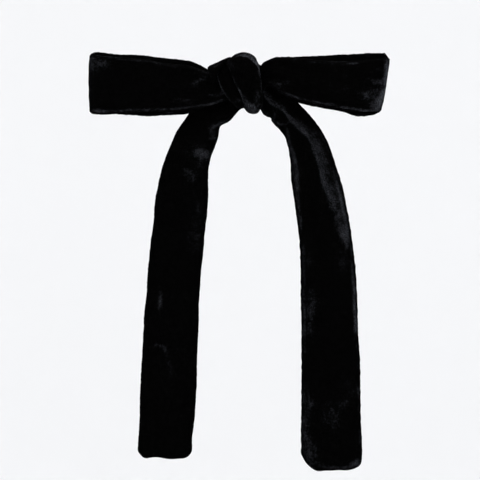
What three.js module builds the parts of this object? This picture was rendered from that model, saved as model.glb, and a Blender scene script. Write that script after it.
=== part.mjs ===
// A velvet bow tie with long tails, tied from one sewn strip of black velvet and shown as it is worn.
// Millimetres, +Z up. The bow faces -Y. The origin is the middle of the neck, level with the knot.
// The strip is a pressed tube of velvet, so every stretch of it is a flat wall with rolled edges.
// Layers in the knot, from the throat to the front: the two crossed ends of the neck band, the roots
// of the tails, the back and the front layers of the loops, and round them all the wrap's pleats.

import * as THREE from "three";

// Driving sizes.
const STRIP_THICK = 2.0; // two layers of velvet with their pile
const PLEAT_THICK = 2.2;
const TAIL_END_THICK = 1.1;
const TAIL_CORNERS = { left: [4.4, 4.6], right: [7.0, 4.8] }; // radius at the left and right corner
const NECK = { halfWide: 63, halfDeep: 58.5 }; // inside of the band, for a 380 mm collar
const BAND = { height: 13, thick: 3.8, crease: 2.6, rise: 9.5, middleZ: -1, lean: 8 };
const BAND_END = { height: 11, thick: 2.2, pastMiddle: 6.2, step: 2.6, stepFrom: 300, stepTo: 350 };

// Mesh fineness.
const STEPS = { loop: 40, tail: 40, pleat: 36, shoulder: 18, band: 52 };
const FACE_STEPS = { loop: 12, tail: 10, pleat: 8 };
const STRIP_ROUNDNESS = 8; // high keeps the faces flat right up to the rolled edges
const PLEAT_ROUNDNESS = 3;
const RIDGE_WIDTH = 0.26; // of half the strip's width
const GATHER_WAVES = 2.5; // small pleats across a gathered loop

const VELVET = { color: 0x050506, roughness: 0.95, metalness: 0 };

// Turns rows of numbers into objects with the named columns.
function table(columns, rows) {
  const names = columns.split(" ");
  return rows.map((row) => Object.fromEntries(names.map((name, i) => [name, row[i]])));
}

// The loops, from the root in the knot along the front layer, round the bend and back again.
// half is half the strip's height there, lean how far its top stands further out for each mm up,
// cup how far its middle bulges and gather the height of its small pleats.
const LEFT_LOOP = table("x y z half lean cup gather", [
  [0.6, -69.5, 0.2, 7.0, 0, 0, 0],
  [-5.0, -69.5, -1.0, 5.3, 0, 0, 0],
  [-10.5, -69.6, -2.1, 6.4, 0, 0, 0.1],
  [-15.0, -70.9, -1.9, 7.8, 0, 0.4, 0.6],
  [-21.0, -72.4, -1.8, 9.4, 0, 0.8, 0.5],
  [-30, -73.9, -1.6, 10.4, 0, 1.2, 0.2],
  [-42, -74.9, -0.9, 11.6, 0, 1.4, 0],
  [-54, -74.6, -0.45, 12.45, 0, 1.1, 0],
  [-63.0, -72.7, -0.15, 12.85, 0, 0.6, 0],
  [-67.2, -68.4, 0.6, 13.6, 0, 0.2, 0],
  [-64.5, -64.2, 0.7, 14.2, 0, 0.1, 0],
  [-56, -63.6, 0.45, 13.6, 0, -0.2, 0],
  [-42, -65.4, -0.4, 13.55, 0, -0.3, 0],
  [-31, -67.1, -0.95, 12.8, 0, -0.3, 0.1],
  [-23, -67.8, -1.2, 11.7, 0, -0.2, 0.2],
  [-17, -67.6, -0.9, 9.3, 0, 0, 0.2],
  [-10.5, -67.1, -0.8, 5.8, 0, 0, 0.1],
  [-5.0, -67.1, -1.0, 5.3, 0, 0, 0],
  [0.6, -67.1, 0.2, 7.0, 0, 0, 0],
]);

const RIGHT_LOOP = table("x y z half lean cup gather", [
  [1.2, -69.5, 0.9, 7.9, 0, 0, 0],
  [6.5, -69.5, -0.2, 9.0, 0, 0, 0],
  [11.5, -69.9, 5.1, 5.8, 0, 0.1, 0.3],
  [17.0, -71.2, 4.9, 7.6, 0, 0.5, 0.7],
  [24.5, -72.7, 2.55, 9.35, 0, 0.9, 0.5],
  [33, -74.1, 0.75, 9.85, 0.03, 1.2, 0.25],
  [44, -75.0, -0.4, 10.6, 0.06, 1.4, 0],
  [54, -74.5, -1.0, 11.5, 0.1, 1.1, 0],
  [60.9, -72.5, -0.45, 12.05, 0.15, 0.6, 0],
  [64.2, -68.4, 0.5, 12.6, 0.16, 0.2, 0],
  [61.7, -64.2, 0.6, 13.9, 0.14, 0.1, 0],
  [54, -63.6, 0.2, 14.0, 0.08, -0.2, 0],
  [44, -65.2, 1.1, 12.7, 0.05, -0.3, 0],
  [33, -67.0, 1.6, 11.4, 0.02, -0.3, 0.1],
  [24, -67.8, 2.5, 10.0, 0, -0.2, 0.2],
  [17, -67.7, 4.7, 7.8, 0, 0, 0.2],
  [11.5, -67.2, 4.8, 5.7, 0, 0, 0.1],
  [6.5, -67.1, 0.0, 8.9, 0, 0, 0],
  [1.2, -67.1, 0.9, 7.6, 0, 0, 0],
]);

// The tails, by their left and right edges, from the root in the knot down to the end. The ridge is
// a soft lengthwise fold; ridgeAt is its place from -1 at the left edge to 1 at the right.
const LEFT_TAIL = table("leftX leftZ rightX rightZ y cup ridge ridgeAt", [
  [0.4, 9.0, 0.4, -10.4, -64.7, 0, 0, 0.5],
  [-5.8, 4.8, -1.0, -11.4, -64.7, 0, 0, 0.5],
  [-11.9, 2.0, -2.9, -13.4, -64.4, 0, 0.2, 0.5],
  [-17.2, -3.9, -5.2, -16.1, -63.9, 0.1, 0.5, 0.5],
  [-21.9, -10.1, -8.5, -18.0, -63.8, 0.4, 0.9, 0.55],
  [-25.3, -15.4, -9.8, -19.9, -64.0, 0.8, 1.3, 0.6],
  [-29.0, -20.7, -10.4, -23.4, -64.2, 1.0, 1.4, 0.6],
  [-31.6, -25.8, -11.6, -27.4, -64.3, 1.0, 1.1, 0.55],
  [-33.7, -31.4, -13.4, -32.6, -64.5, 1.0, 0.7, 0.5],
  [-35.5, -37.2, -14.5, -38.4, -64.7, 1.0, 0.3, 0.5],
  [-37.0, -44, -14.9, -44.5, -64.9, 0.9, 0, 0.5],
  [-38.7, -53, -15.0, -53, -65.2, 0.8, 0, 0],
  [-39.9, -64, -15.9, -64, -65.6, 0.6, 0, 0],
  [-41.4, -79, -17.6, -79, -66.0, 0.5, 0, 0],
  [-43.0, -97, -18.8, -97, -66.2, 0.5, 0.2, -0.3],
  [-44.2, -116, -19.5, -116, -66.2, 0.4, 0.3, -0.3],
  [-45.2, -136, -20.1, -136, -66.4, 0.3, 0.1, -0.3],
  [-45.8, -154, -21.0, -154, -66.9, 0.2, 0, 0],
  [-46.2, -167.6, -22.5, -168.1, -67.4, 0.1, 0, 0],
]);

const RIGHT_TAIL = table("leftX leftZ rightX rightZ y cup ridge ridgeAt", [
  [1.4, -10.0, 1.4, 10.0, -64.7, 0, 0, 0.2],
  [4.6, -10.1, 7.6, 9.5, -64.7, 0, 0, 0.2],
  [7.5, -10.2, 14.4, 4.4, -64.5, 0, 0.1, 0.15],
  [9.8, -12.3, 20.0, -1.2, -64.0, 0.1, 0.7, 0.1],
  [12.6, -14.9, 25.2, -7.5, -63.9, 0.2, 1.5, 0.05],
  [15.4, -17.9, 30.2, -12.6, -64.0, 0.3, 2.1, 0.05],
  [17.9, -20.7, 34.6, -18.0, -64.2, 0.4, 2.4, 0.1],
  [19.9, -24.0, 38.0, -23.8, -64.5, 0.5, 2.3, 0.2],
  [21.0, -28.8, 40.6, -29.6, -64.8, 0.5, 2.0, 0.3],
  [22.2, -35.2, 43.1, -36.4, -65.1, 0.5, 1.7, 0.4],
  [22.7, -43.0, 45.4, -44.2, -65.4, 0.5, 1.3, 0.45],
  [24.0, -52.0, 47.4, -53.0, -65.7, 0.5, 1.0, 0.5],
  [25.3, -62.0, 49.1, -62.0, -66.0, 0.5, 0.7, 0.5],
  [26.6, -74.0, 50.6, -74.0, -66.3, 0.5, 0.4, 0.5],
  [26.9, -90, 51.9, -90, -66.4, 0.5, 0.1, 0.5],
  [27.0, -108, 52.6, -108, -66.4, 0.4, 0, 0],
  [27.1, -128, 53.5, -128, -66.5, 0.4, 0, 0],
  [27.1, -148, 54.0, -148, -66.8, 0.3, 0, 0],
  [27.1, -162, 54.6, -162, -67.2, 0.2, 0, 0],
  [27.4, -173.4, 54.5, -173.1, -67.6, 0, 0, 0],
]);

// The pleats of the wrap: puff lifts a pleat's middle, and roll lowers its right side, in degrees.
const FRONT_PLEAT = table("x y z half puff roll", [
  [3.2, -74.8, 0.4, 5.9, 1.7, 0],
  [1.8, -74.8, 5.2, 6.7, 1.8, 3],
  [0.9, -73.5, 9.2, 7.2, 1.8, 4],
  [1.4, -70.2, 11.5, 5.6, 1.7, 6],
  [1.5, -65.2, 11.9, 5.4, 1.4, 5],
  [2.2, -60.6, 10.3, 5.3, 0.8, 3],
  [2.8, -57.3, 6.5, 5.3, 0.5, 0],
  [3.4, -56.8, 0.4, 5.3, 0.5, 0],
  [4.1, -56.9, -6.2, 4.8, 0.5, 0],
  [4.8, -59.4, -9.6, 3.7, 0.4, 0],
  [5.2, -64.7, -11.3, 2.9, 0.5, 6],
  [5.3, -70.8, -10.9, 3.5, 0.9, 2],
  [5.4, -74.1, -8.8, 4.3, 1.2, 0],
  [4.6, -74.9, -4.6, 4.9, 1.7, 0],
]);

// The side pleat starts under the knot, passes up its front and over it, and ends below its back.
const SIDE_PLEAT = table("x y z half puff roll", [
  [-0.4, -67.4, -9.4, 2.0, 0.2, 0],
  [-0.3, -70.4, -9.2, 2.7, 0.4, 0],
  [-1.2, -71.9, -7.2, 4.1, 0.7, 0],
  [-4.2, -72.0, -2.2, 4.6, 0.7, 0],
  [-6.4, -71.9, 3.0, 4.3, 0.7, 0],
  [-7.2, -71.2, 6.0, 3.5, 0.6, -15],
  [-7.0, -68.6, 7.4, 3.0, 0.3, -28],
  [-7.2, -64.5, 7.2, 2.6, 0.3, -28],
  [-6.8, -59.0, 6.6, 2.4, 0.3, -10],
  [-5.7, -56.7, 3.4, 2.4, 0.3, 0],
  [-4.9, -56.7, -1.5, 2.4, 0.3, 0],
  [-3.5, -56.9, -6.0, 2.3, 0.3, 0],
  [-2.3, -58.8, -9.3, 2.1, 0.3, 0],
  [-1.9, -60.8, -9.9, 1.9, 0.3, 0],
]);

// The shoulder pleat starts behind the knot and passes over it, then tucks in beside the side pleat.
const SHOULDER_PLEAT = table("x y z half puff roll", [
  [-10.2, -54.4, 4.6, 4.0, 0.3, -14],
  [-10.2, -55.2, 7.4, 4.8, 0.4, -18],
  [-9.8, -58.2, 9.3, 5.5, 0.4, -23],
  [-9.4, -62.5, 9.95, 5.7, 0.4, -24.5],
  [-9.4, -66.6, 10.0, 5.6, 0.4, -24.5],
  [-10.2, -70.4, 9.35, 5.1, 0.4, -24],
  [-11.4, -72.8, 7.6, 3.6, 0.4, -24],
  [-12.1, -73.7, 5.2, 2.4, 0.3, -24],
  [-12.3, -73.8, 2.9, 1.4, 0.2, -20],
  [-12.0, -73.6, 0.8, 0.6, 0.1, -15],
]);

// Catmull-Rom interpolation of every column at a place along the rows.
function between(rows, place, closed) {
  const n = rows.length;
  const i = closed ? Math.floor(place) : Math.min(Math.floor(place), n - 2);
  const t = place - i;
  const near = (k) => rows[closed ? (i + k + n) % n : THREE.MathUtils.clamp(i + k, 0, n - 1)];
  const weights = [
    -0.5 * t + t * t - 0.5 * t ** 3,
    1 - 2.5 * t * t + 1.5 * t ** 3,
    0.5 * t + 2 * t * t - 1.5 * t ** 3,
    -0.5 * t * t + 0.5 * t ** 3,
  ];
  const mixed = {};
  for (const name of Object.keys(rows[0])) {
    mixed[name] = weights.reduce((sum, weight, k) => sum + weight * near(k - 1)[name], 0);
  }
  return mixed;
}

// Sections at even places along the rows, each with its middle and the direction of the strip.
function sections(rows, steps, closed, middleOf) {
  const count = closed ? steps : steps + 1;
  const length = closed ? rows.length : rows.length - 1;
  const list = Array.from({ length: count }, (_, i) => between(rows, (i * length) / steps, closed));
  const middles = list.map(middleOf);
  return list.map((row, i) => {
    const next = closed ? middles[(i + 1) % count] : middles[Math.min(i + 1, count - 1)];
    const last = closed ? middles[(i + count - 1) % count] : middles[Math.max(i - 1, 0)];
    return { row, at: middles[i], along: next.clone().sub(last).normalize() };
  });
}

const middleOfRow = ({ x, y, z }) => new THREE.Vector3(x, y, z);

// The outline of one section: over the outer face from edge to edge, and back over the inner face.
// middle(u) lifts the strip's middle surface, with u from -1 to 1 across it.
function stripOutline({ at, across, out, half, thick, roundness, steps, middle }) {
  const point = (u, side) => {
    const rounding = Math.sqrt(Math.max(0, 1 - Math.abs(u) ** roundness));
    const lift = middle(u) + (side * thick * rounding) / 2;
    return at.clone().addScaledVector(across, u * half).addScaledVector(out, lift);
  };
  const places = Array.from({ length: steps + 1 }, (_, i) => -Math.cos((Math.PI * i) / steps));
  const outer = places.map((u) => point(u, 1));
  const inner = places.slice(1, -1).reverse().map((u) => point(u, -1));
  return [...outer, ...inner];
}

// Joins the outlines of successive sections into one closed surface, facing out.
function loft(outlines, closed) {
  const count = outlines[0].length;
  const rings = outlines.length;
  const faces = [];
  for (let r = 0; r < (closed ? rings : rings - 1); r++) {
    const shift = (((r + 1) % rings) - r) * count;
    for (let i = 0; i < count; i++) {
      const [a, b] = [r * count + i, r * count + ((i + 1) % count)];
      faces.push(a, b, b + shift, a, b + shift, a + shift);
    }
  }
  if (!closed) {
    faces.push(...endLadder(0, count, true), ...endLadder((rings - 1) * count, count, false));
  }
  return facingOut(outlines.flat(), faces);
}

// Closes one end with a ladder of faces between the outer and the inner face of the strip.
function endLadder(first, count, reversed) {
  const faces = [];
  const add = (a, b, c) => faces.push(...(reversed ? [a, c, b] : [a, b, c]));
  for (let i = 0; i < count / 2; i++) {
    const [a, b] = [first + i, first + i + 1];
    const [d, c] = [first + ((count - i) % count), first + count - i - 1];
    if (d !== a) add(a, b, d);
    if (c !== b) add(b, c, d);
  }
  return faces;
}

function facingOut(points, faces) {
  let volume = 0;
  for (let i = 0; i < faces.length; i += 3) {
    const [a, b, c] = [points[faces[i]], points[faces[i + 1]], points[faces[i + 2]]];
    volume += a.dot(b.clone().cross(c));
  }
  const turned = volume < 0 ? [...faces].reverse() : faces;
  const places = points.flatMap((point) => point.toArray());
  const geometry = new THREE.BufferGeometry();
  geometry.setAttribute("position", new THREE.Float32BufferAttribute(places, 3));
  geometry.setIndex(turned);
  geometry.computeVertexNormals();
  return geometry;
}

// A loop of the bow: the strip on edge, doubled back on itself. side is -1 for the left loop.
function loopGeometry(rows, side) {
  const outlines = sections(rows, STEPS.loop, false, middleOfRow).map(({ row, at, along }) => {
    const across = new THREE.Vector3(row.lean, 0, 1);
    const out = across.clone().cross(along).normalize().multiplyScalar(-side);
    return stripOutline({
      at,
      across,
      out,
      half: row.half,
      thick: STRIP_THICK,
      roundness: STRIP_ROUNDNESS,
      steps: FACE_STEPS.loop,
      middle: (u) => row.cup * (1 - u * u) + row.gather * Math.cos(GATHER_WAVES * Math.PI * u),
    });
  });
  return loft(outlines, false);
}

// A hanging tail, with its face to the front and round corners at its end.
function tailGeometry(rows, corners) {
  const leftOf = ({ leftX, leftZ, y }) => new THREE.Vector3(leftX, y, leftZ);
  const rightOf = ({ rightX, rightZ, y }) => new THREE.Vector3(rightX, y, rightZ);
  const middleOf = (row) => leftOf(row).lerp(rightOf(row), 0.5);
  const outlineAt = (row, along, left, right, thick) => {
    const across = right.clone().sub(left).normalize();
    const fold = (u) => row.ridge * Math.exp(-(((u - row.ridgeAt) / RIDGE_WIDTH) ** 2));
    return stripOutline({
      at: left.clone().lerp(right, 0.5),
      across,
      out: along.clone().cross(across).normalize(),
      half: left.distanceTo(right) / 2,
      thick,
      roundness: STRIP_ROUNDNESS,
      steps: FACE_STEPS.tail,
      middle: (u) => row.cup * (1 - u * u) + fold(u),
    });
  };
  const all = sections(rows, STEPS.tail, false, middleOf);
  const end = all.at(-1);
  const outlines = all
    .filter(({ at }) => at.distanceTo(end.at) > Math.max(...corners) + 1)
    .map(({ row, along }) => outlineAt(row, along, leftOf(row), rightOf(row), STRIP_THICK));
  const inward = rightOf(end.row).sub(leftOf(end.row)).normalize();
  for (const angle of [0, 22, 45, 65, 80, 90]) {
    const turn = THREE.MathUtils.degToRad(angle);
    const [back, inset] = [Math.sin(turn) - 1, 1 - Math.cos(turn)];
    const left = leftOf(end.row).addScaledVector(end.along, corners[0] * back);
    const right = rightOf(end.row).addScaledVector(end.along, corners[1] * back);
    left.addScaledVector(inward, corners[0] * inset);
    right.addScaledVector(inward, -corners[1] * inset);
    const thick = THREE.MathUtils.lerp(STRIP_THICK, TAIL_END_THICK, Math.sin(turn) ** 4);
    outlines.push(outlineAt(end.row, end.along, left, right, thick));
  }
  return loft(outlines, false);
}

// A pleat of the wrap, which passes round the layers in the knot.
function pleatGeometry(rows, steps, closed) {
  const outlines = sections(rows, steps, closed, middleOfRow).map(({ row, at, along }) => {
    const roll = THREE.MathUtils.degToRad(row.roll);
    const flatAlong = along.clone().setX(0).normalize();
    const across = new THREE.Vector3(Math.cos(roll), 0, -Math.sin(roll));
    const out = across.clone().cross(flatAlong).normalize();
    return stripOutline({
      at,
      across,
      out,
      half: row.half,
      thick: PLEAT_THICK,
      roundness: PLEAT_ROUNDNESS,
      steps: FACE_STEPS.pleat,
      middle: (u) => row.puff * (1 - u * u),
    });
  });
  return loft(outlines, closed);
}

// The band's section: the strip folded in half lengthwise, its fold on top and both edges below.
function foldedOutline({ at, up, out, height, thick }) {
  const round = thick / 2;
  const lobe = thick / 4;
  const low = -height / 2;
  const half = [
    [0, height / 2],
    [0.71 * round, height / 2 - 0.29 * round],
    [round, height / 2 - round],
    [round, low + lobe],
    [1.71 * lobe, low + 0.29 * lobe],
    [lobe, low],
    [0.2 * lobe, low + 0.4 * lobe],
    [0, low + BAND.crease],
  ];
  const mirrored = half.slice(1, -1).reverse().map(([side, high]) => [-side, high]);
  return [...half, ...mirrored].map(([side, high]) =>
    at.clone().addScaledVector(out, side).addScaledVector(up, high),
  );
}

// The band round the neck. Its ends cross in front, and the left one lies outside the right one.
function bandGeometry() {
  const first = -BAND_END.pastMiddle;
  const last = 360 + BAND_END.pastMiddle;
  const outlines = Array.from({ length: STEPS.band + 1 }, (_, i) => {
    const turn = THREE.MathUtils.lerp(first, last, i / STEPS.band);
    const angle = THREE.MathUtils.degToRad(turn);
    const back = (1 - Math.cos(angle)) / 2;
    const free = THREE.MathUtils.smoothstep(back, 0.01, 0.2);
    const thick = THREE.MathUtils.lerp(BAND_END.thick, BAND.thick, free);
    const step = BAND_END.step * THREE.MathUtils.smoothstep(turn, BAND_END.stepFrom, BAND_END.stepTo);
    const outward = new THREE.Vector3(Math.sin(angle) / NECK.halfWide, -Math.cos(angle) / NECK.halfDeep, 0);
    outward.normalize();
    const at = new THREE.Vector3(NECK.halfWide * Math.sin(angle), -NECK.halfDeep * Math.cos(angle), 0);
    at.addScaledVector(outward, thick / 2 + step).setZ(BAND.middleZ + BAND.rise * back);
    const lean = THREE.MathUtils.degToRad(BAND.lean) * free;
    const up = outward.clone().multiplyScalar(-Math.sin(lean)).setZ(Math.cos(lean));
    const out = outward.clone().multiplyScalar(Math.cos(lean)).setZ(Math.sin(lean));
    const height = THREE.MathUtils.lerp(BAND_END.height, BAND.height, free);
    return foldedOutline({ at, up, out, height, thick });
  });
  return loft(outlines, false);
}

function velvetPiece(name, geometry) {
  const mesh = new THREE.Mesh(geometry, new THREE.MeshStandardMaterial(VELVET));
  mesh.name = name;
  return mesh;
}

const bowTie = new THREE.Group();
bowTie.add(
  velvetPiece("neck_band", bandGeometry()),
  velvetPiece("left_loop", loopGeometry(LEFT_LOOP, -1)),
  velvetPiece("right_loop", loopGeometry(RIGHT_LOOP, 1)),
  velvetPiece("left_tail", tailGeometry(LEFT_TAIL, TAIL_CORNERS.left)),
  velvetPiece("right_tail", tailGeometry(RIGHT_TAIL, TAIL_CORNERS.right)),
  velvetPiece("knot_front_pleat", pleatGeometry(FRONT_PLEAT, STEPS.pleat, true)),
  velvetPiece("knot_side_pleat", pleatGeometry(SIDE_PLEAT, STEPS.pleat, false)),
  velvetPiece("knot_shoulder_pleat", pleatGeometry(SHOULDER_PLEAT, STEPS.shoulder, false)),
);

export default bowTie;
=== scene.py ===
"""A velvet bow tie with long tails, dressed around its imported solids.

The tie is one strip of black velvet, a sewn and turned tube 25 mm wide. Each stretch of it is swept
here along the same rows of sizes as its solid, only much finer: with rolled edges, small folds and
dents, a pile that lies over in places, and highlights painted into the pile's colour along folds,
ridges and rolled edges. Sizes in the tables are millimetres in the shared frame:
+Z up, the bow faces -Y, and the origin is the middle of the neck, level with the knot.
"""

import logging
import math
from dataclasses import dataclass, field
from enum import Enum

import bmesh
import bpy
import numpy as np
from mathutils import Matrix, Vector


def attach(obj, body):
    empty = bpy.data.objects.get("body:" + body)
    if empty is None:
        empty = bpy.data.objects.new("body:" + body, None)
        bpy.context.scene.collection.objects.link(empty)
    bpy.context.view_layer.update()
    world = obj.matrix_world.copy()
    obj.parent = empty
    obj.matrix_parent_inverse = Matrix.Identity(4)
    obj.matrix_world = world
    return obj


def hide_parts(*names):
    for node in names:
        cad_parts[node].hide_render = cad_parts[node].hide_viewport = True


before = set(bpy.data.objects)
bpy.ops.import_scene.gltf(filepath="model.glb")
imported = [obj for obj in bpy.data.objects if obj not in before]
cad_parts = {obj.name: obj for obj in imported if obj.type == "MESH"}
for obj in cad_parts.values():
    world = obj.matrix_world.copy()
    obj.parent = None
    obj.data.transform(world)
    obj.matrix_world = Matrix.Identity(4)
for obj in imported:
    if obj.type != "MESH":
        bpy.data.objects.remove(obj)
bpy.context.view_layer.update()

MM = 0.001
BODY = "root"
PLACE = "strip_place"  # across and along the strip in millimetres, and the stretch's own number
NAP_AND_HIGHLIGHT = "nap_and_highlight"  # painted highlight along folds and ridges, partly pile that lies over and shows grey
RIM = "rim"  # painted highlight along the rolled edges
PLACE_STEP = 17.3  # sets the grain of one stretch apart from the next, in millimetres

log = logging.getLogger("bow_tie")


class Side(Enum):
    """A loop's side of the knot, seen from the front."""

    LEFT = -1
    RIGHT = 1


class Hold(Enum):
    """How a stretch of cloth is held."""

    FOLDED = "folded"
    HUNG = "hung"
    GATHERED = "gathered"
    STRETCHED = "stretched"


def unit(vectors: np.ndarray) -> np.ndarray:
    """Scales vectors to length 1."""
    return vectors / np.linalg.norm(vectors, axis=-1, keepdims=True)


def smoothstep(low: float, high: float, values: np.ndarray) -> np.ndarray:
    """Goes smoothly from 0 at low to 1 at high."""
    t = np.clip((values - low) / (high - low), 0.0, 1.0)
    return t * t * (3.0 - 2.0 * t)


@dataclass(frozen=True)
class Ripple:
    """A smooth unevenness in space, added up from plane waves. Its height and size are millimetres."""

    height: float
    size: float
    pattern: int
    waves: int = 9
    lengths: tuple[float, float] = (0.7, 1.6)

    def at(self, points: np.ndarray, number: int) -> np.ndarray:
        """Gives the unevenness at points, the same on every run.

        Args:
            points: Places in millimetres, with x, y and z last.
            number: The piece's number, which gives it a pattern of its own.

        Returns:
            Values around 0 that seldom pass the height.
        """
        rng = np.random.default_rng(self.pattern + number)
        total = np.zeros(points.shape[:-1])
        for _ in range(self.waves):
            heading = unit(rng.normal(size=3))
            heading = heading * (2.0 * math.pi / (self.size * rng.uniform(*self.lengths)))
            total += np.sin(points @ heading + rng.uniform(0.0, 2.0 * math.pi))
        return self.height * (total / math.sqrt(self.waves))


@dataclass(frozen=True)
class Rows:
    """Rows of sizes at places along a strip, with named columns."""

    columns: str
    values: tuple[tuple[float, ...], ...]
    closed: bool = False

    @property
    def spans(self) -> int:
        """The number of spans between rows."""
        return len(self.values) if self.closed else len(self.values) - 1

    def at(self, places: np.ndarray) -> dict[str, np.ndarray]:
        """Mixes the rows smoothly, by Catmull-Rom.

        Args:
            places: Places along the strip, counted in rows.

        Returns:
            The values of each column at the places.
        """
        rows = np.array(self.values)
        count = len(rows)
        if self.closed:
            first = np.floor(places).astype(int)
        else:
            first = np.clip(np.floor(places).astype(int), 0, count - 2)
        t = places - first
        weights = np.stack(
            [
                -0.5 * t + t**2 - 0.5 * t**3,
                1.0 - 2.5 * t**2 + 1.5 * t**3,
                0.5 * t + 2.0 * t**2 - 1.5 * t**3,
                -0.5 * t**2 + 0.5 * t**3,
            ],
            axis=1,
        )
        near = first[:, None] + np.arange(-1, 3)
        near = near % count if self.closed else np.clip(near, 0, count - 1)
        mixed = np.einsum("nk,nkc->nc", weights, rows[near])
        return dict(zip(self.columns.split(), mixed.T))


@dataclass(frozen=True)
class FoldLine:
    """A fold, a crease or a painted highlight line on a strip, as the front view shows it.

    Its places have the columns x, z, width and strength. Where the strength is 1, height lifts the
    outer face in millimetres, or the whole cloth if the fold goes through, and light says how strongly
    a highlight is painted into the pile's colour, partly pile that lies over. The share haze of the mark
    fades out slowly. The mark stops short on the hard side, where a painted ridge highlight meets its
    shaded side, which is 1 for the left of the line's course and -1 for its right.
    """

    places: tuple[tuple[float, float, float, float], ...]
    light: float = 1.0
    height: float = 0.0
    through: bool = False
    spread: float = 1.5
    haze: float = 0.3
    haze_reach: float = 1.2
    hard_side: int = 0
    hardness: float = 5.0

    def strength_at(self, x: np.ndarray, z: np.ndarray) -> np.ndarray:
        """Says how strongly the line marks each place.

        Args:
            x: Places to the right in millimetres.
            z: Places upwards in millimetres.

        Returns:
            Strengths that fade away from the line.
        """
        rows = np.array(self.places)
        nearest, turned = np.full_like(x, np.inf), np.zeros_like(x)
        width, strength = np.ones_like(x), np.zeros_like(x)
        for start, end in zip(rows[:-1], rows[1:]):
            run = end[:2] - start[:2]
            share = ((x - start[0]) * run[0] + (z - start[1]) * run[1]) / (run @ run)
            share = np.clip(share, 0.0, 1.0)
            off = np.hypot(x - start[0] - share * run[0], z - start[1] - share * run[1])
            closer = off < nearest
            nearest = np.where(closer, off, nearest)
            turned = np.where(closer, run[0] * (z - start[1]) - run[1] * (x - start[0]), turned)
            width = np.where(closer, start[2] + share * (end[2] - start[2]), width)
            strength = np.where(closer, start[3] + share * (end[3] - start[3]), strength)
        hard = turned * self.hard_side > 0.0
        off = np.where(hard, nearest * self.hardness, nearest) / (width * self.spread)
        near = (1.0 - self.haze) * np.exp(-(off**2))
        return strength * (near + self.haze * np.exp(-off / self.haze_reach))


@dataclass(frozen=True)
class Nick:
    """A small dent in a strip's edge, or a bump where push is above 0, in millimetres.

    Its place is where the front view shows it.
    """

    x: float
    z: float
    radius: float
    push: float

    def at(self, points: np.ndarray) -> np.ndarray:
        """Gives how far the edge is pushed out near points."""
        off = np.hypot(points[..., 0] - self.x, points[..., 2] - self.z) / self.radius
        return self.push * np.exp(-(off**2))


@dataclass(frozen=True)
class NodeSheet:
    """Adds nodes to one tree and links them."""

    tree: bpy.types.NodeTree

    def add(self, kind: str, values: dict | None = None, **settings: object) -> bpy.types.Node:
        """Adds a node.

        Args:
            kind: Blender's name for the kind of node.
            values: Input sockets by name or number, each with a value or with a socket to link.
            settings: Properties of the node itself.

        Returns:
            The new node.
        """
        node = self.tree.nodes.new(kind)
        for name, setting in settings.items():
            setattr(node, name, setting)
        for socket, value in (values or {}).items():
            if isinstance(value, bpy.types.NodeSocket):
                self.tree.links.new(value, node.inputs[socket])
            else:
                node.inputs[socket].default_value = value
        return node

    def math(self, operation: str, *values: object, clamp: bool = False) -> bpy.types.NodeSocket:
        """Adds a math node and returns its result."""
        node = self.add("ShaderNodeMath", dict(enumerate(values)), operation=operation, use_clamp=clamp)
        return node.outputs[0]

    def scale(self, vector: bpy.types.NodeSocket, factor: object) -> bpy.types.NodeSocket:
        """Scales a vector and returns it."""
        values = {0: vector, "Scale": factor}
        return self.add("ShaderNodeVectorMath", values, operation="SCALE").outputs[0]

    def noise(self, place: bpy.types.NodeSocket, detail: float, rough: float) -> bpy.types.NodeSocket:
        """Adds a noise with waves as long as one unit of place, and returns its value."""
        values = {"Vector": place, "Scale": 1.0, "Detail": detail, "Roughness": rough}
        return self.add("ShaderNodeTexNoise", values).outputs["Fac"]

    def spread(self, value: bpy.types.NodeSocket, low: float, high: float) -> bpy.types.NodeSocket:
        """Spreads the values from low to high out over 0 to 1."""
        values = {"Value": value, "From Min": low, "From Max": high}
        return self.add("ShaderNodeMapRange", values).outputs["Result"]

    def blend(self, share: bpy.types.NodeSocket, low: object, high: object) -> bpy.types.NodeSocket:
        """Mixes two colours by a share from 0 to 1, and returns the mixed colour."""
        values = {0: share, 6: low, 7: high}
        return self.add("ShaderNodeMix", values, data_type="RGBA").outputs[2]


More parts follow.
